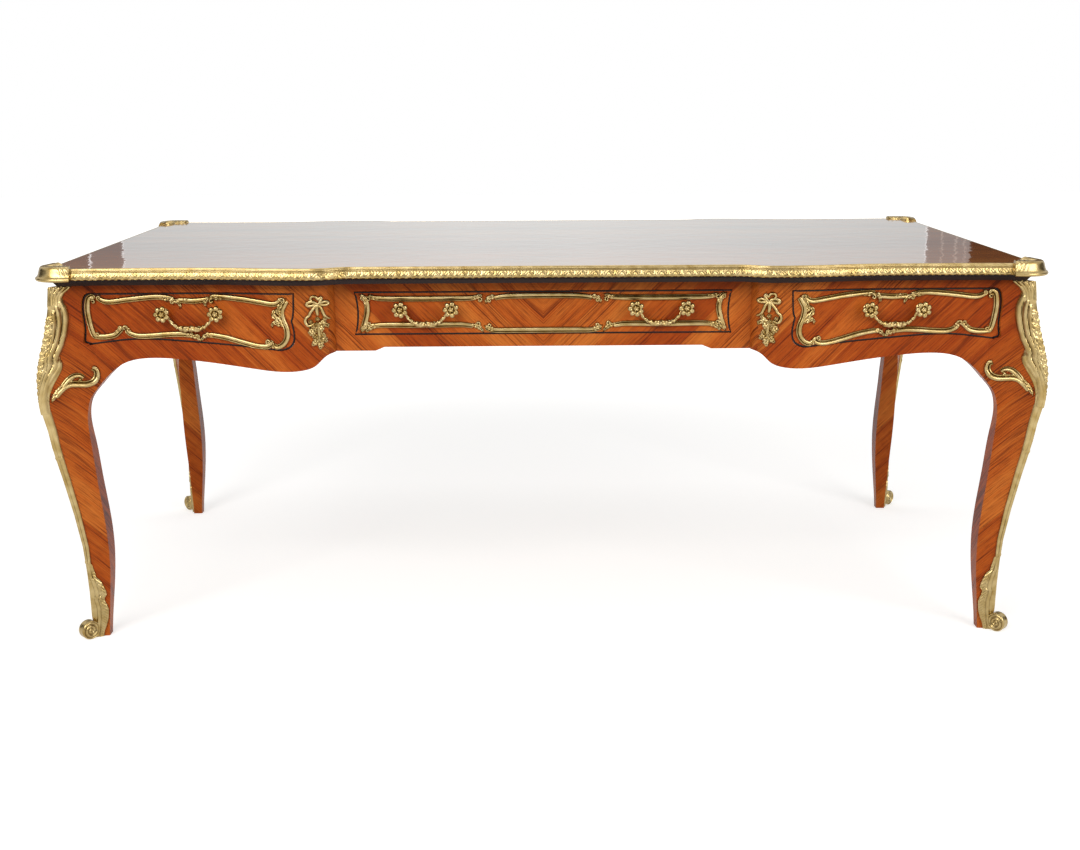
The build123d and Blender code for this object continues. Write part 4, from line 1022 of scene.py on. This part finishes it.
def clasp(casting, stations, heights, ornament, across, lip=2.4, crown=0.07):
    """Skin a mount that wraps the outer arris; ornament(q, z, width) adds relief in mm."""
    half = np.linspace(0, 1, across) ** 0.9
    rows = []
    for z in heights:
        arris, width = at_height(stations, z)
        bare, inner, face, hollow = at_height(LEG_STATIONS, z)
        edge = arris - width
        share = (edge + inner) / (bare + inner)
        reach = face + share * (bare - face) - 4 * hollow * share * (1 - share)
        out = arris - half * width
        fore = arris + (reach + lip - arris) * half + 4 * crown * width * half * (1 - half)
        turn = np.clip(half * width / NOSE, 0, 1)
        turn = turn * turn * (3 - 2 * turn)
        high = ornament(half, z, width) - EASE * np.clip(1 - half * width / EASE_WIDTH, 0, 1) ** 2
        normal_out = math.sqrt(0.5) * (1 - turn)
        out = out + normal_out * high
        fore = fore + np.sqrt(1 - normal_out**2) * high
        wall = (out[-1] - 0.1, reach - 1.0)
        front = [*zip(out, fore), wall]
        side = [(b, a) for a, b in reversed(front[1:])]
        deep = max(min(edge - 0.5, reach - 1.0), CORE - inner)
        ring = [*side, *front, (deep, deep)]
        rows.append([(LEG_DATUM[0] + a, -LEG_DATUM[1] - b, z) for a, b in ring])
    casting.skin(rows)


def ridge(q, z, width, line, half_width, rise):
    """Height of one raised rib that follows a (q, z) line."""
    line = np.asarray(line, float)
    line = line[np.argsort(line[:, 1])]
    low, high = line[0, 1], line[-1, 1]
    middle = np.interp(z, line[:, 1], line[:, 0])
    fade = np.clip(min(z - low, high - z) / 6.0 + 0.15, 0, 1) if low <= z <= high else 0.0
    return rise * fade * blob((q - middle) * width / half_width)


def boss(q, z, width, spot, size, turn, rise):
    """Height of one oval lobe; spot is (mm from the arris, z)."""
    a = q * width - spot[0]
    b = z - spot[1]
    c, s = math.cos(turn), math.sin(turn)
    reach = ((c * a + s * b) / size[0]) ** 2 + ((c * b - s * a) / size[1]) ** 2
    return rise * np.sqrt(np.clip(1 - reach, 0, 1))


# Raised lines of the chute: (share of the width, height) points, half width and rise.
CHUTE_RIDGES = [
    ([(0.84, 714), (0.88, 700), (0.89, 655), (0.87, 622), (0.85, 604), (0.74, 585), (0.62, 566),
      (0.58, 545), (0.60, 520), (0.62, 486)], 4.6, 3.6),
    ([(0.52, 706), (0.58, 690), (0.64, 667), (0.63, 636), (0.58, 614), (0.50, 590), (0.42, 566),
      (0.36, 542), (0.30, 520), (0.2, 486)], 3.7, 3.3),
    ([(0.36, 694), (0.40, 676), (0.44, 646), (0.42, 616), (0.36, 592), (0.30, 570), (0.24, 545)], 2.6, 2.5),
    ([(0.90, 597), (0.92, 588), (0.86, 574), (0.76, 558), (0.68, 546)], 3.6, 2.8),
    ([(0.72, 590), (0.76, 580), (0.72, 566), (0.66, 554)], 2.6, 2.2),
]


def shell_flute(k):
    """One of the flutes of the shell, which fan out upwards."""
    line = [(0.04 + 0.235 * k, 743), (0.06 + 0.21 * k, 728), (0.12 + 0.175 * k, 710), (0.16 + 0.12 * k, 698)]
    return line, 3.4, 2.6


def chute_bosses():
    """Flower chain down the arris: five-petalled flowers with leaves between them."""
    lobes = []
    for number, z in enumerate(range(676, 500, -26)):
        shift = 6.5 if number % 2 else 5.0
        for petal in range(5):
            turn = petal * 2 * math.pi / 5 + 0.4 * number
            spot = (shift + 4.2 * math.cos(turn), z + 4.2 * math.sin(turn))
            lobes.append((spot, (3.6, 2.7), turn, 2.0))
        lobes.append(((shift, z), (2.2, 2.2), 0, 3.0))
        for lean in (0.7, -0.5):
            lobes.append(((shift + 8.0, z - 9 * lean), (5.2, 2.4), lean, 1.6))
        lobes.append(((2.0, z - 13), (3.0, 6.0), 0.3, 2.2))
        lobes.append(((7.5, z - 13), (2.4, 5.4), -0.6, 1.8))
    return lobes


CHUTE_RIDGES += [shell_flute(k) for k in range(5)]
CHUTE_BOSSES = chute_bosses()


def chute_relief(q, z, width):
    """Ribs of the shell and the stem, with the flower chain between them."""
    high = np.zeros_like(q)
    for line, half_width, rise in CHUTE_RIDGES:
        high = np.maximum(high, ridge(q, z, width, line, half_width, rise))
    for spot, size, turn, rise in CHUTE_BOSSES:
        if abs(z - spot[1]) < 9:
            high = np.maximum(high, boss(q, z, width, spot, size, turn, rise))
    return high


def strip_relief(q, z, width):
    """Two reeds on each face, with a small collar."""
    reed = np.maximum(2.2 * blob((q - 0.74) / 0.25), 2.4 * blob((q - 0.25) / 0.23))
    collar = 1.6 * math.exp(-(((z - 396) / 2.6) ** 2)) + 1.4 * math.exp(-(((z - 166) / 2.5) ** 2))
    return reed + collar


def sabot_relief(q, z, width):
    """Two tiers of lobed leaf that spread down to the foot, fluted along their borders."""
    middle = [(0.36, 166), (0.40, 130), (0.44, 96), (0.46, 60), (0.42, 20), (0.36, 0)]
    rib = ridge(q, z, width, middle, 3.0, 2.4)
    tongue = ridge(q, z, width, [(0.0, 166), (0.0, 36)], 4.0, 1.8)
    border = np.clip((q - 0.60) / 0.10, 0, 1) * np.clip((150 - z) / 14, 0, 1)
    flutes = 0.5 + 0.5 * np.cos(2 * np.pi * (z + 0.9 * q * width) / 6.4)
    fold = 1.4 * math.exp(-(((z - 88) / 3.0) ** 2))
    return np.maximum(rib, tongue) + border * (0.8 + 1.3 * flutes) + fold * np.clip(q * 2.2, 0, 1)


SCROLL_CENTRE = (952.0, -464.0, 20.2)  # mm, on the front right foot
SCROLL_FACE, SCROLL_LEAD = 17.4, 7.0  # radius of the drum's end, and mm between its windings
SCROLL_EDGE = [(18.9, 9.4), (19.8, 7.4), (19.4, 4.0), (18.9, 0.0)]  # radius, half width


def foot_scroll(casting):
    """Rolled scroll at the toe: a rounded drum whose ends carry a soft winding ridge."""
    axis = np.array((1, 1, 0)) * math.sqrt(0.5)
    inward = np.array((-1, 1, 0)) * math.sqrt(0.5)
    turn = np.linspace(0, 2 * np.pi, 56, endpoint=False)
    across = np.cos(turn)[:, None] * inward + np.sin(turn)[:, None] * (0, 0, 1)
    rows = []
    for end in (-1, 1):
        side = []
        for radius in np.linspace(0.4, SCROLL_FACE, 26):
            wound = 0.5 + 0.5 * np.cos(2 * np.pi * radius / SCROLL_LEAD - turn)
            depth = 8.6 + 0.9 * (1 - radius / SCROLL_FACE) + 2.3 * wound * min(1.0, radius / 3.0)
            side.append(across * radius + end * depth[:, None] * axis)
        for radius, depth in SCROLL_EDGE:
            side.append(across * radius + end * depth * axis)
        rows += side if end < 0 else side[-2::-1]
    casting.skin([np.array(SCROLL_CENTRE) + row for row in rows])


# Scrolls beside the knee: (x, z) lines with their half width and rise.
KNEE_BANDS = [
    ([(974, 522), (966, 533), (957, 541), (947, 544), (934, 542.5), (921, 541), (910, 544), (903, 551),
      (900.5, 561), (903, 569.5), (909.5, 573)], 7.6, 7.0),
    ([(962, 539), (957, 547), (949, 556), (940, 561), (931, 560), (925, 555.5)], 5.4, 5.8),
]
KNEE_LEAVES = [
    ([(952, 545), (947, 554), (940, 558), (932, 556)], 4.6, 4),
    ([(936, 545), (931, 551), (926, 557)], 3.6, 3),
    ([(962, 541), (969, 533), (976, 522), (980, 512)], 5.2, 4),
]
KNEE_LEAF_RISE = 6.0


def mirrored_across_leg(casting):
    """The same piece on the leg's other face."""
    twin = Casting()
    middle = LEG_DATUM[0] - LEG_DATUM[1]
    for points in casting.points:
        twin.points.append(np.stack([middle - points[:, 1], middle - points[:, 0], points[:, 2]], axis=1))
    twin.faces, twin.count = list(casting.faces), casting.count
    return twin


def to_corners(casting, name, node_name, per_corner=True):
    """Place a front right piece at all four corners."""
    for corner, side in CORNERS.items():
        stands_for = node_name + "_" + corner if per_corner else node_name
        casting.build(name + "_" + corner, "carcase", [stands_for], side=side)


class DESK_OT_leg_mounts(Operator):
    """Chutes, edge strips, sabots and knee scrolls of the four legs."""

    bl_idname = "desk.leg_mounts"
    bl_label = "Leg mounts"

    def execute(self, context):
        chute = Casting()
        heights = np.linspace(CHUTE_STATIONS[0, 0], CHUTE_STATIONS[-1, 0], 190)
        clasp(chute, CHUTE_STATIONS, heights, chute_relief, 34)
        to_corners(chute, "chute_cast", "chute")
        strip = Casting()
        clasp(strip, STRIP_STATIONS, np.linspace(162, 494, 120), strip_relief, 15, 1.8, 0.03)
        to_corners(strip, "strip_cast", "edge_strip")
        sabot = Casting()
        clasp(sabot, SABOT_STATIONS, np.linspace(0.2, 166, 130), sabot_relief, 26, 2.2, 0.05)
        foot_scroll(sabot)
        to_corners(sabot, "sabot_cast", "sabot")
        knee = Casting()
        for route, width, rise in KNEE_BANDS:
            relief(knee, lay_front, route, swell(width, 0.62, 0.35), swell(rise, 0.8), reeds, across=15)
        for route, width, lobes in KNEE_LEAVES:
            leaf(knee, lay_front, route, width, KNEE_LEAF_RISE, lobes)
        to_corners(knee, "knee_front", "knee_scrolls", False)
        to_corners(mirrored_across_leg(knee), "knee_end", "knee_scrolls", False)
        return {"FINISHED"}


# ---------------------------------------------------------------- edge of the top
EDGE_REACH = 9.5  # mm that the moulding stands out of the panel
EDGE_STEP = 1.15  # mm between its sections
PEARL_PITCH = 5.2  # mm between the pearls of its upper edge
VENEER_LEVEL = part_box("top_panel")[1][2] / MM
PANEL_DEPTH = 10.5  # mm below it at which rays find the panel's edge
FRONT_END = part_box("edge_front")[1][0] / MM  # where the front moulding ends
COVERED = (20.0, -493.0)  # how far it runs on under the corner mount, and the y of its end
SIDE_X, SIDE_END = (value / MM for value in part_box("edge_right")[0][:2])
SIDE_EDGE = [(SIDE_X, SIDE_END), (SIDE_X, 0), (SIDE_X, -SIDE_END)]
EAR_PATH, EAR_RADIUS = [(FRONT_END - 2, -492.4), (983, -501), (SIDE_X, SIDE_END)], 26


def edge_section(run, pitch):
    """Outline of the edge moulding at a distance along it: (outward, up from the veneer)."""
    phase = abs((run / pitch) % 1.0 - 0.5)
    rows = []
    for share in np.linspace(0, 1, 13):
        edge = 0.45 * (1 - share**1.7) ** 0.75 + 0.03
        inside = (edge - phase) / edge
        vein = 0.5 + 0.5 * math.cos(2 * math.pi * (4.6 * phase - 1.9 * share))
        rib = 0.5 * math.exp(-((phase / 0.05) ** 2))
        dart = 1.3 * max(0.0, 1 - (0.5 - phase) / max(0.5 - edge, 0.06)) ** 0.6
        high = 0.5 + 0.7 * vein * min(1.0, inside / 0.2) + rib if inside > 0 else 0.1 + dart
        rows.append((EDGE_REACH - 2.9 + 2.4 * math.sin(math.pi * share * 0.62) + high, -8.2 - 12.0 * share))
    scallop = 0.5 * math.cos(2 * math.pi * run / (pitch / 2))
    fillet = [(EDGE_REACH - 0.7, -20.9), (EDGE_REACH + 0.2, -21.6 + scallop), (EDGE_REACH - 2.0, -22.3)]
    pearl = 0.3 * math.cos(2 * math.pi * run / PEARL_PITCH)
    top = [
        (-0.6, -0.2), (-0.4, 0.25), (1.0, 0.3), (2.4, -0.3), (3.1, -1.3), (3.4, -2.3), (4.6, -2.3),
        (5.8, -2.8 + pearl), (6.5, -3.8 + pearl), (6.2, -4.9), (5.5, -5.4), (6.6, -5.9), (6.9, -6.8),
        (6.3, -7.6),
    ]
    return [*top, *rows, *fillet, (-0.6, -22.4)]


def sweep_level(casting, line, section):
    """Carry a section along a level line; section(run) gives (outward, up from the veneer) points."""
    rows = []
    for (x, y), (ax, ay), run in zip(line, headings(line), distances(line)):
        rows.append([(x + ay * out, y - ax * out, VENEER_LEVEL + up) for out, up in section(run)])
    casting.skin(rows)


def sweep_edge(casting, path):
    """Edge moulding along a path."""
    pitch = bpy.context.scene.desk_mounts.leaf_pitch / MM
    line = smooth(path, int(distances(path)[-1] / EDGE_STEP))
    sweep_level(casting, line, lambda run: edge_section(run, pitch))


def top_front_path():
    """Plan line of the panel's front edge, between the corner mounts."""
    panel = tree_of(["top_panel"])
    level = (VENEER_LEVEL - PANEL_DEPTH) * MM
    end_x, end_y = FRONT_END + COVERED[0], COVERED[1]
    path = [(-end_x, end_y)]
    for x in np.linspace(-FRONT_END, FRONT_END, 371):
        hit = panel.ray_cast(Vector((x * MM, FRONT_START, level)), Vector((0, 1, 0)))[0]
        path.append((x, hit.y / MM))
    return [*path, (end_x, end_y)]


def rounded(points, radius, steps=60):
    """Level path with its middle corner rounded."""
    a, b, c = (np.array(p, float) for p in points)
    u, v = (a - b) / np.linalg.norm(a - b), (c - b) / np.linalg.norm(c - b)
    half = math.acos(float(u @ v)) / 2
    cut = radius / math.tan(half)
    start, end = b + u * cut, b + v * cut
    centre = b + (u + v) / np.linalg.norm(u + v) * radius / math.sin(half)
    arc = []
    for t in np.linspace(0, 1, steps):
        way = (start - centre) * (1 - t) + (end - centre) * t
        arc.append(centre + way / np.linalg.norm(way) * radius)
    return [a, *arc, c]


def ear_row(share):
    """Section of the corner mount at a share of its run: (outward, up) points."""
    ends = abs(2 * share - 1)
    flute = 0.5 + 0.5 * math.cos(2 * math.pi * share * 11)
    lobe = 5.0 * abs(math.sin(math.pi * share * 3.0)) ** 0.7
    # Round the corner the leaf stays inside the turn's radius; past it there is room for more.
    room = EAR_RADIUS - 2.0 + 60 * max(0.0, abs(share - 0.42) - 0.25)
    inner = min(10 + 16 * math.sin(math.pi * share) ** 0.8 + lobe, room)
    rows = [(-inner, -0.3), (-inner + 0.5, 1.8)]
    for at in np.linspace(0.08, 1.0, 12):
        hump = math.sin(math.pi * min(1.0, 0.12 + at * 1.1)) if at < 0.8 else 0.0
        rows.append((-inner + (inner + 6) * at, 1.8 + 2.2 * flute * hump + 3.6 * at * (2 - at)))
    # A smooth belly at the corner; towards both ends it breaks into curled leaves.
    leafy = min(1.0, max(0.0, ends - 0.5) / 0.25)
    belly = [(8.6, 5.0), (10.6, 4.0), (12.2, 2.0), (13.4, -0.8)]
    belly += [(14.3, -4.0), (15.2, -7.4), (16.2, -10.6), (17.6, -13.6)]
    for number, (out, up) in enumerate(belly):
        vein = 0.5 + 0.5 * math.cos(2 * math.pi * (share * 13 + number * 0.16))
        rows.append((out + leafy * 1.7 * vein * math.sin(math.pi * number / 7), up))
    rows += [(18.4, -15.0), (20.4, -16.2), (21.8, -18.2), (22.0, -20.4), (20.8, -22.5), (18.2, -23.7)]
    return rows + [(8, -24.0), (-1.0, -24.0), (-1.0, -0.3)]


def corner_mount(casting):
    """Leaf over the corner that swells outwards, with a torus below it."""
    line = evenly(rounded(EAR_PATH, EAR_RADIUS), 150)
    length = distances(line)[-1]
    sweep_level(casting, line, lambda run: ear_row(run / length))


class DESK_OT_edge(Operator):
    """Leaf-tip moulding round the top, with its four corner mounts."""

    bl_idname = "desk.edge"
    bl_label = "Edge of the top"

    def execute(self, context):
        for path, places in (
            (top_front_path(), {"edge_front": FRONT, "edge_back": BEHIND}),
            (SIDE_EDGE, {"edge_right": FRONT, "edge_left": LEFT}),
        ):
            edge = Casting()
            sweep_edge(edge, path)
            for name, side in places.items():
                edge.build(name + "_cast", "carcase", [name], side=side, angle=60)
        ear = Casting()
        corner_mount(ear)
        to_corners(ear, "corner_cast", "corner_mount")
        return {"FINISHED"}


# ---------------------------------------------------------------- pendants
PENDANT_PLACE = 450.0  # mm from the middle of the desk
# The bands, leaves and flowers below are drawn as thin lines; in the bronze they are this much
# wider, and bands and leaves rise this far.
BAND_SPREAD, SPRAY_SPREAD, FLOWER_SPREAD = 1.4, 1.6, 1.2
BAND_RISE, SPRAY_RISE = 6.5, 7.6
PENDANT_BANDS = [
    ([(-0.3, 701.8), (6.6, 706.3), (14.6, 705.9), (19.6, 702.3), (17.1, 698.3), (9.6, 698.7),
      (2.4, 700.9)], 2.7),
    ([(-1.1, 701.8), (-7.4, 704.4), (-14.6, 706.6), (-19.7, 703.4), (-17.0, 699.9), (-9.9, 699.5),
      (-2.9, 700.9)], 2.5),
    ([(1.4, 704.4), (10.1, 708.1), (11.1, 714.3), (6.1, 717.4), (0.9, 715.6), (-2.4, 710.6), (-7.0, 716.0),
      (-8.2, 711.5), (-3.9, 704.4)], 2.3),
    ([(0.7, 700.0), (7.2, 692.0), (12.8, 684.9), (15.7, 678.7), (21.2, 674.2), (23.3, 667.1),
      (19.2, 659.0), (12.1, 658.9), (6.7, 662.5)], 2.7),
    ([(-1.9, 700.0), (-7.0, 693.7), (-10.2, 685.6), (-12.6, 678.5), (-16.8, 674.0), (-21.1, 671.3)], 2.4),
    ([(-0.4, 700.9), (0.2, 690.2), (-0.7, 679.4)], 2.6),
    ([(-15.7, 669.5), (-10.4, 669.5), (-6.3, 666.0), (-8.4, 663.3), (-13.8, 665.0)], 1.9),
    ([(-1.3, 663.3), (-1.7, 650.8), (-2.0, 637.3), (-0.7, 627.4)], 2.6),
]
PENDANT_LEAVES = [
    ([(-1.2, 659.7), (-8.3, 661.5), (-15.3, 659.7), (-19.5, 652.4)], 4.6, 3),
    ([(-0.9, 654.4), (-4.3, 649.0), (-3.1, 641.8)], 4.2, 3),
    ([(-0.3, 659.8), (5.2, 655.3), (7.2, 649.9)], 4.2, 3),
    ([(1.2, 646.3), (8.1, 649.0), (14.5, 645.5), (16.9, 640.1)], 5.2, 4),
    ([(3.1, 641.8), (6.9, 637.3), (12.3, 634.7)], 3.6, 3),
    ([(-3.8, 637.3), (-9.0, 634.5), (-13.2, 627.3), (-12.1, 622.8)], 4.2, 4),
    ([(-0.1, 634.6), (2.8, 629.2), (4.0, 621.1)], 4.6, 3),
    ([(1.9, 628.3), (7.5, 622.9), (13.0, 617.5)], 4.2, 3),
    ([(-1.7, 630.1), (-4.0, 621.0), (-2.6, 609.3)], 4.6, 4),
    ([(-6.3, 633.6), (-9.7, 630.0), (-15.0, 628.2)], 3.2, 3),
]
PENDANT_FLOWERS = [
    (-0.8, 672.3, 4.4), (1.4, 661.6, 4.2), (10.1, 643.7, 5.6), (-7.1, 652.5, 6.0), (-11.0, 639.9, 4.6),
    (-0.1, 634.6, 4.2), (-14.0, 671.0, 4.4), (13.0, 667.0, 4.2), (8.0, 656.0, 4.4),
]


def pendant(casting):
    """Ribbon bow with a drop of flowers and leaves."""
    for route, width in PENDANT_BANDS:
        moved = [(PENDANT_PLACE + x, z) for x, z in route]
        half_width, rise = swell(BAND_SPREAD * width, 0.75), swell(BAND_RISE, 0.8)
        relief(casting, lay_front, moved, half_width, rise, dome, across=7)
    for route, width, lobes in PENDANT_LEAVES:
        moved = [(PENDANT_PLACE + x, z) for x, z in route]
        leaf(casting, lay_front, moved, SPRAY_SPREAD * width, SPRAY_RISE, lobes)
    for x, z, radius in PENDANT_FLOWERS:
        spot = lay_front(np.array([[(PENDANT_PLACE + x, z)]]), np.array([[0.0]]))[0, 0]
        wide = FLOWER_SPREAD * radius
        cup = [(wide * 0.9, -1), (wide, 4.5), (wide * 0.9, 7.0), (wide * 0.55, 8.0), (wide * 0.32, 6.6)]
        turned(casting, spot, cup, 5, 0.28, 40)
        turned(casting, spot, [(wide * 0.36, 6.0), (wide * 0.32, 8.4), (0.6, 9.4)], sides=14)


class DESK_OT_pendants(Operator):
    """Four pendants on the rounded piers."""

    bl_idname = "desk.pendants"
    bl_label = "Pendants"

    def execute(self, context):
        casting = Casting()
        pendant(casting)
        to_corners(casting, "pendant_cast", "carcase_mounts", False)
        return {"FINISHED"}


# ---------------------------------------------------------------- stringing, with painted shade of the drawer gaps
SEAM = 1e-5  # metres within which the corners of two faces of a node are one
FORWARD, ASIDE = 0.7, 0.3  # faces that look forward more than the first, or less than the second


def front_outline(name):
    """Ordered points of a drawer front's face edge, in millimetres."""
    work = bmesh.new()
    work.from_mesh(NODES[name].data)
    bmesh.ops.remove_doubles(work, verts=work.verts, dist=SEAM)
    work.normal_update()
    linked = {}
    for edge in work.edges:
        if len(edge.link_faces) != 2:
            continue
        a, b = (f.normal.y for f in edge.link_faces)
        if min(a, b) < -FORWARD and max(a, b) > -ASIDE:
            p, q = (v.index for v in edge.verts)
            linked.setdefault(p, []).append(q)
            linked.setdefault(q, []).append(p)
    start = next((v for v, ahead in linked.items() if len(ahead) == 1), next(iter(linked)))
    order, seen, here = [start], {start}, start
    while True:
        ahead = [n for n in linked[here] if n not in seen]
        if not ahead:
            break
        here = ahead[0]
        order.append(here)
        seen.add(here)
    work.verts.ensure_lookup_table()
    points = np.array([work.verts[i].co for i in order]) / MM
    work.free()
    return points


STRING_RISE, STRING_DEPTH = 0.25, 0.4  # mm above and below the veneer


def string_and_gap_shade_line(casting, points, width):
    """Flat black line just inside a closed outline: inlaid stringing and painted shade of the gap."""
    ahead, behind = np.roll(points, -1, axis=0), np.roll(points, 1, axis=0)
    along = (ahead - behind)[:, [0, 2]]
    along /= np.linalg.norm(along, axis=1)[:, None]
    inward = np.stack([-along[:, 1], along[:, 0]], axis=1)
    middle = points.mean(axis=0)
    if ((middle[[0, 2]] - points[:, [0, 2]]) * inward).sum() < 0:
        inward = -inward
    section = [(0.05, -STRING_DEPTH), (0.05, STRING_RISE), (width, STRING_RISE), (width, -STRING_DEPTH)]
    rows = []
    for point, side in zip(points, inward):
        rows.append([point + (side[0] * across, -out, side[1] * across) for across, out in section])
    casting.skin(rows + rows[:1], caps=False)


class DESK_OT_stringing(Operator):
    """Black lines round the drawer fronts: inlaid stringing and painted shade of the gaps."""

    bl_idname = "desk.stringing"
    bl_label = "Stringing"

    def execute(self, context):
        width = context.scene.desk_mounts.string_width / MM
        for side in ("right", "left", "centre"):
            casting = Casting()
            string_and_gap_shade_line(casting, front_outline("drawer_" + side + "_front"), width)
            black = {"finish": "stringing", "slot": "dark_moulding"}
            casting.build("string_" + side, "drawer_" + side, **black)
            casting.build("string_back_" + side, "carcase", side=BEHIND, **black)
        return {"FINISHED"}


class DESK_PT_sidebar(Panel):
    """Sidebar list of the desk's pieces."""

    bl_label = "Bureau plat"
    bl_space_type = "VIEW_3D"
    bl_region_type = "UI"
    bl_category = "Bureau plat"

    def draw(self, context):
        for operator in OPERATORS:
            self.layout.operator(operator.bl_idname)
        for settings, kind in SETTINGS.items():
            for name in kind.__annotations__:
                self.layout.prop(getattr(context.scene, settings), name)


OPERATORS = (
    DESK_OT_stage,
    DESK_OT_wood,
    DESK_OT_drawer_mounts,
    DESK_OT_bails,
    DESK_OT_leg_mounts,
    DESK_OT_edge,
    DESK_OT_pendants,
    DESK_OT_stringing,
)
SETTINGS = {"desk_finishes": DeskFinishes, "desk_mounts": DeskMounts, "desk_stage": DeskStage}
CLASSES = (*SETTINGS.values(), *OPERATORS, DESK_PT_sidebar)


def register():
    for made in CLASSES:
        bpy.utils.register_class(made)
    for name, kind in SETTINGS.items():
        setattr(bpy.types.Scene, name, PointerProperty(type=kind))


def unregister():
    for name in SETTINGS:
        delattr(bpy.types.Scene, name)
    for made in reversed(CLASSES):
        bpy.utils.unregister_class(made)


def main():
    register()
    for operator in OPERATORS:
        group, name = operator.bl_idname.split(".")
        getattr(getattr(bpy.ops, group), name)()


if __name__ == "__main__":
    main()
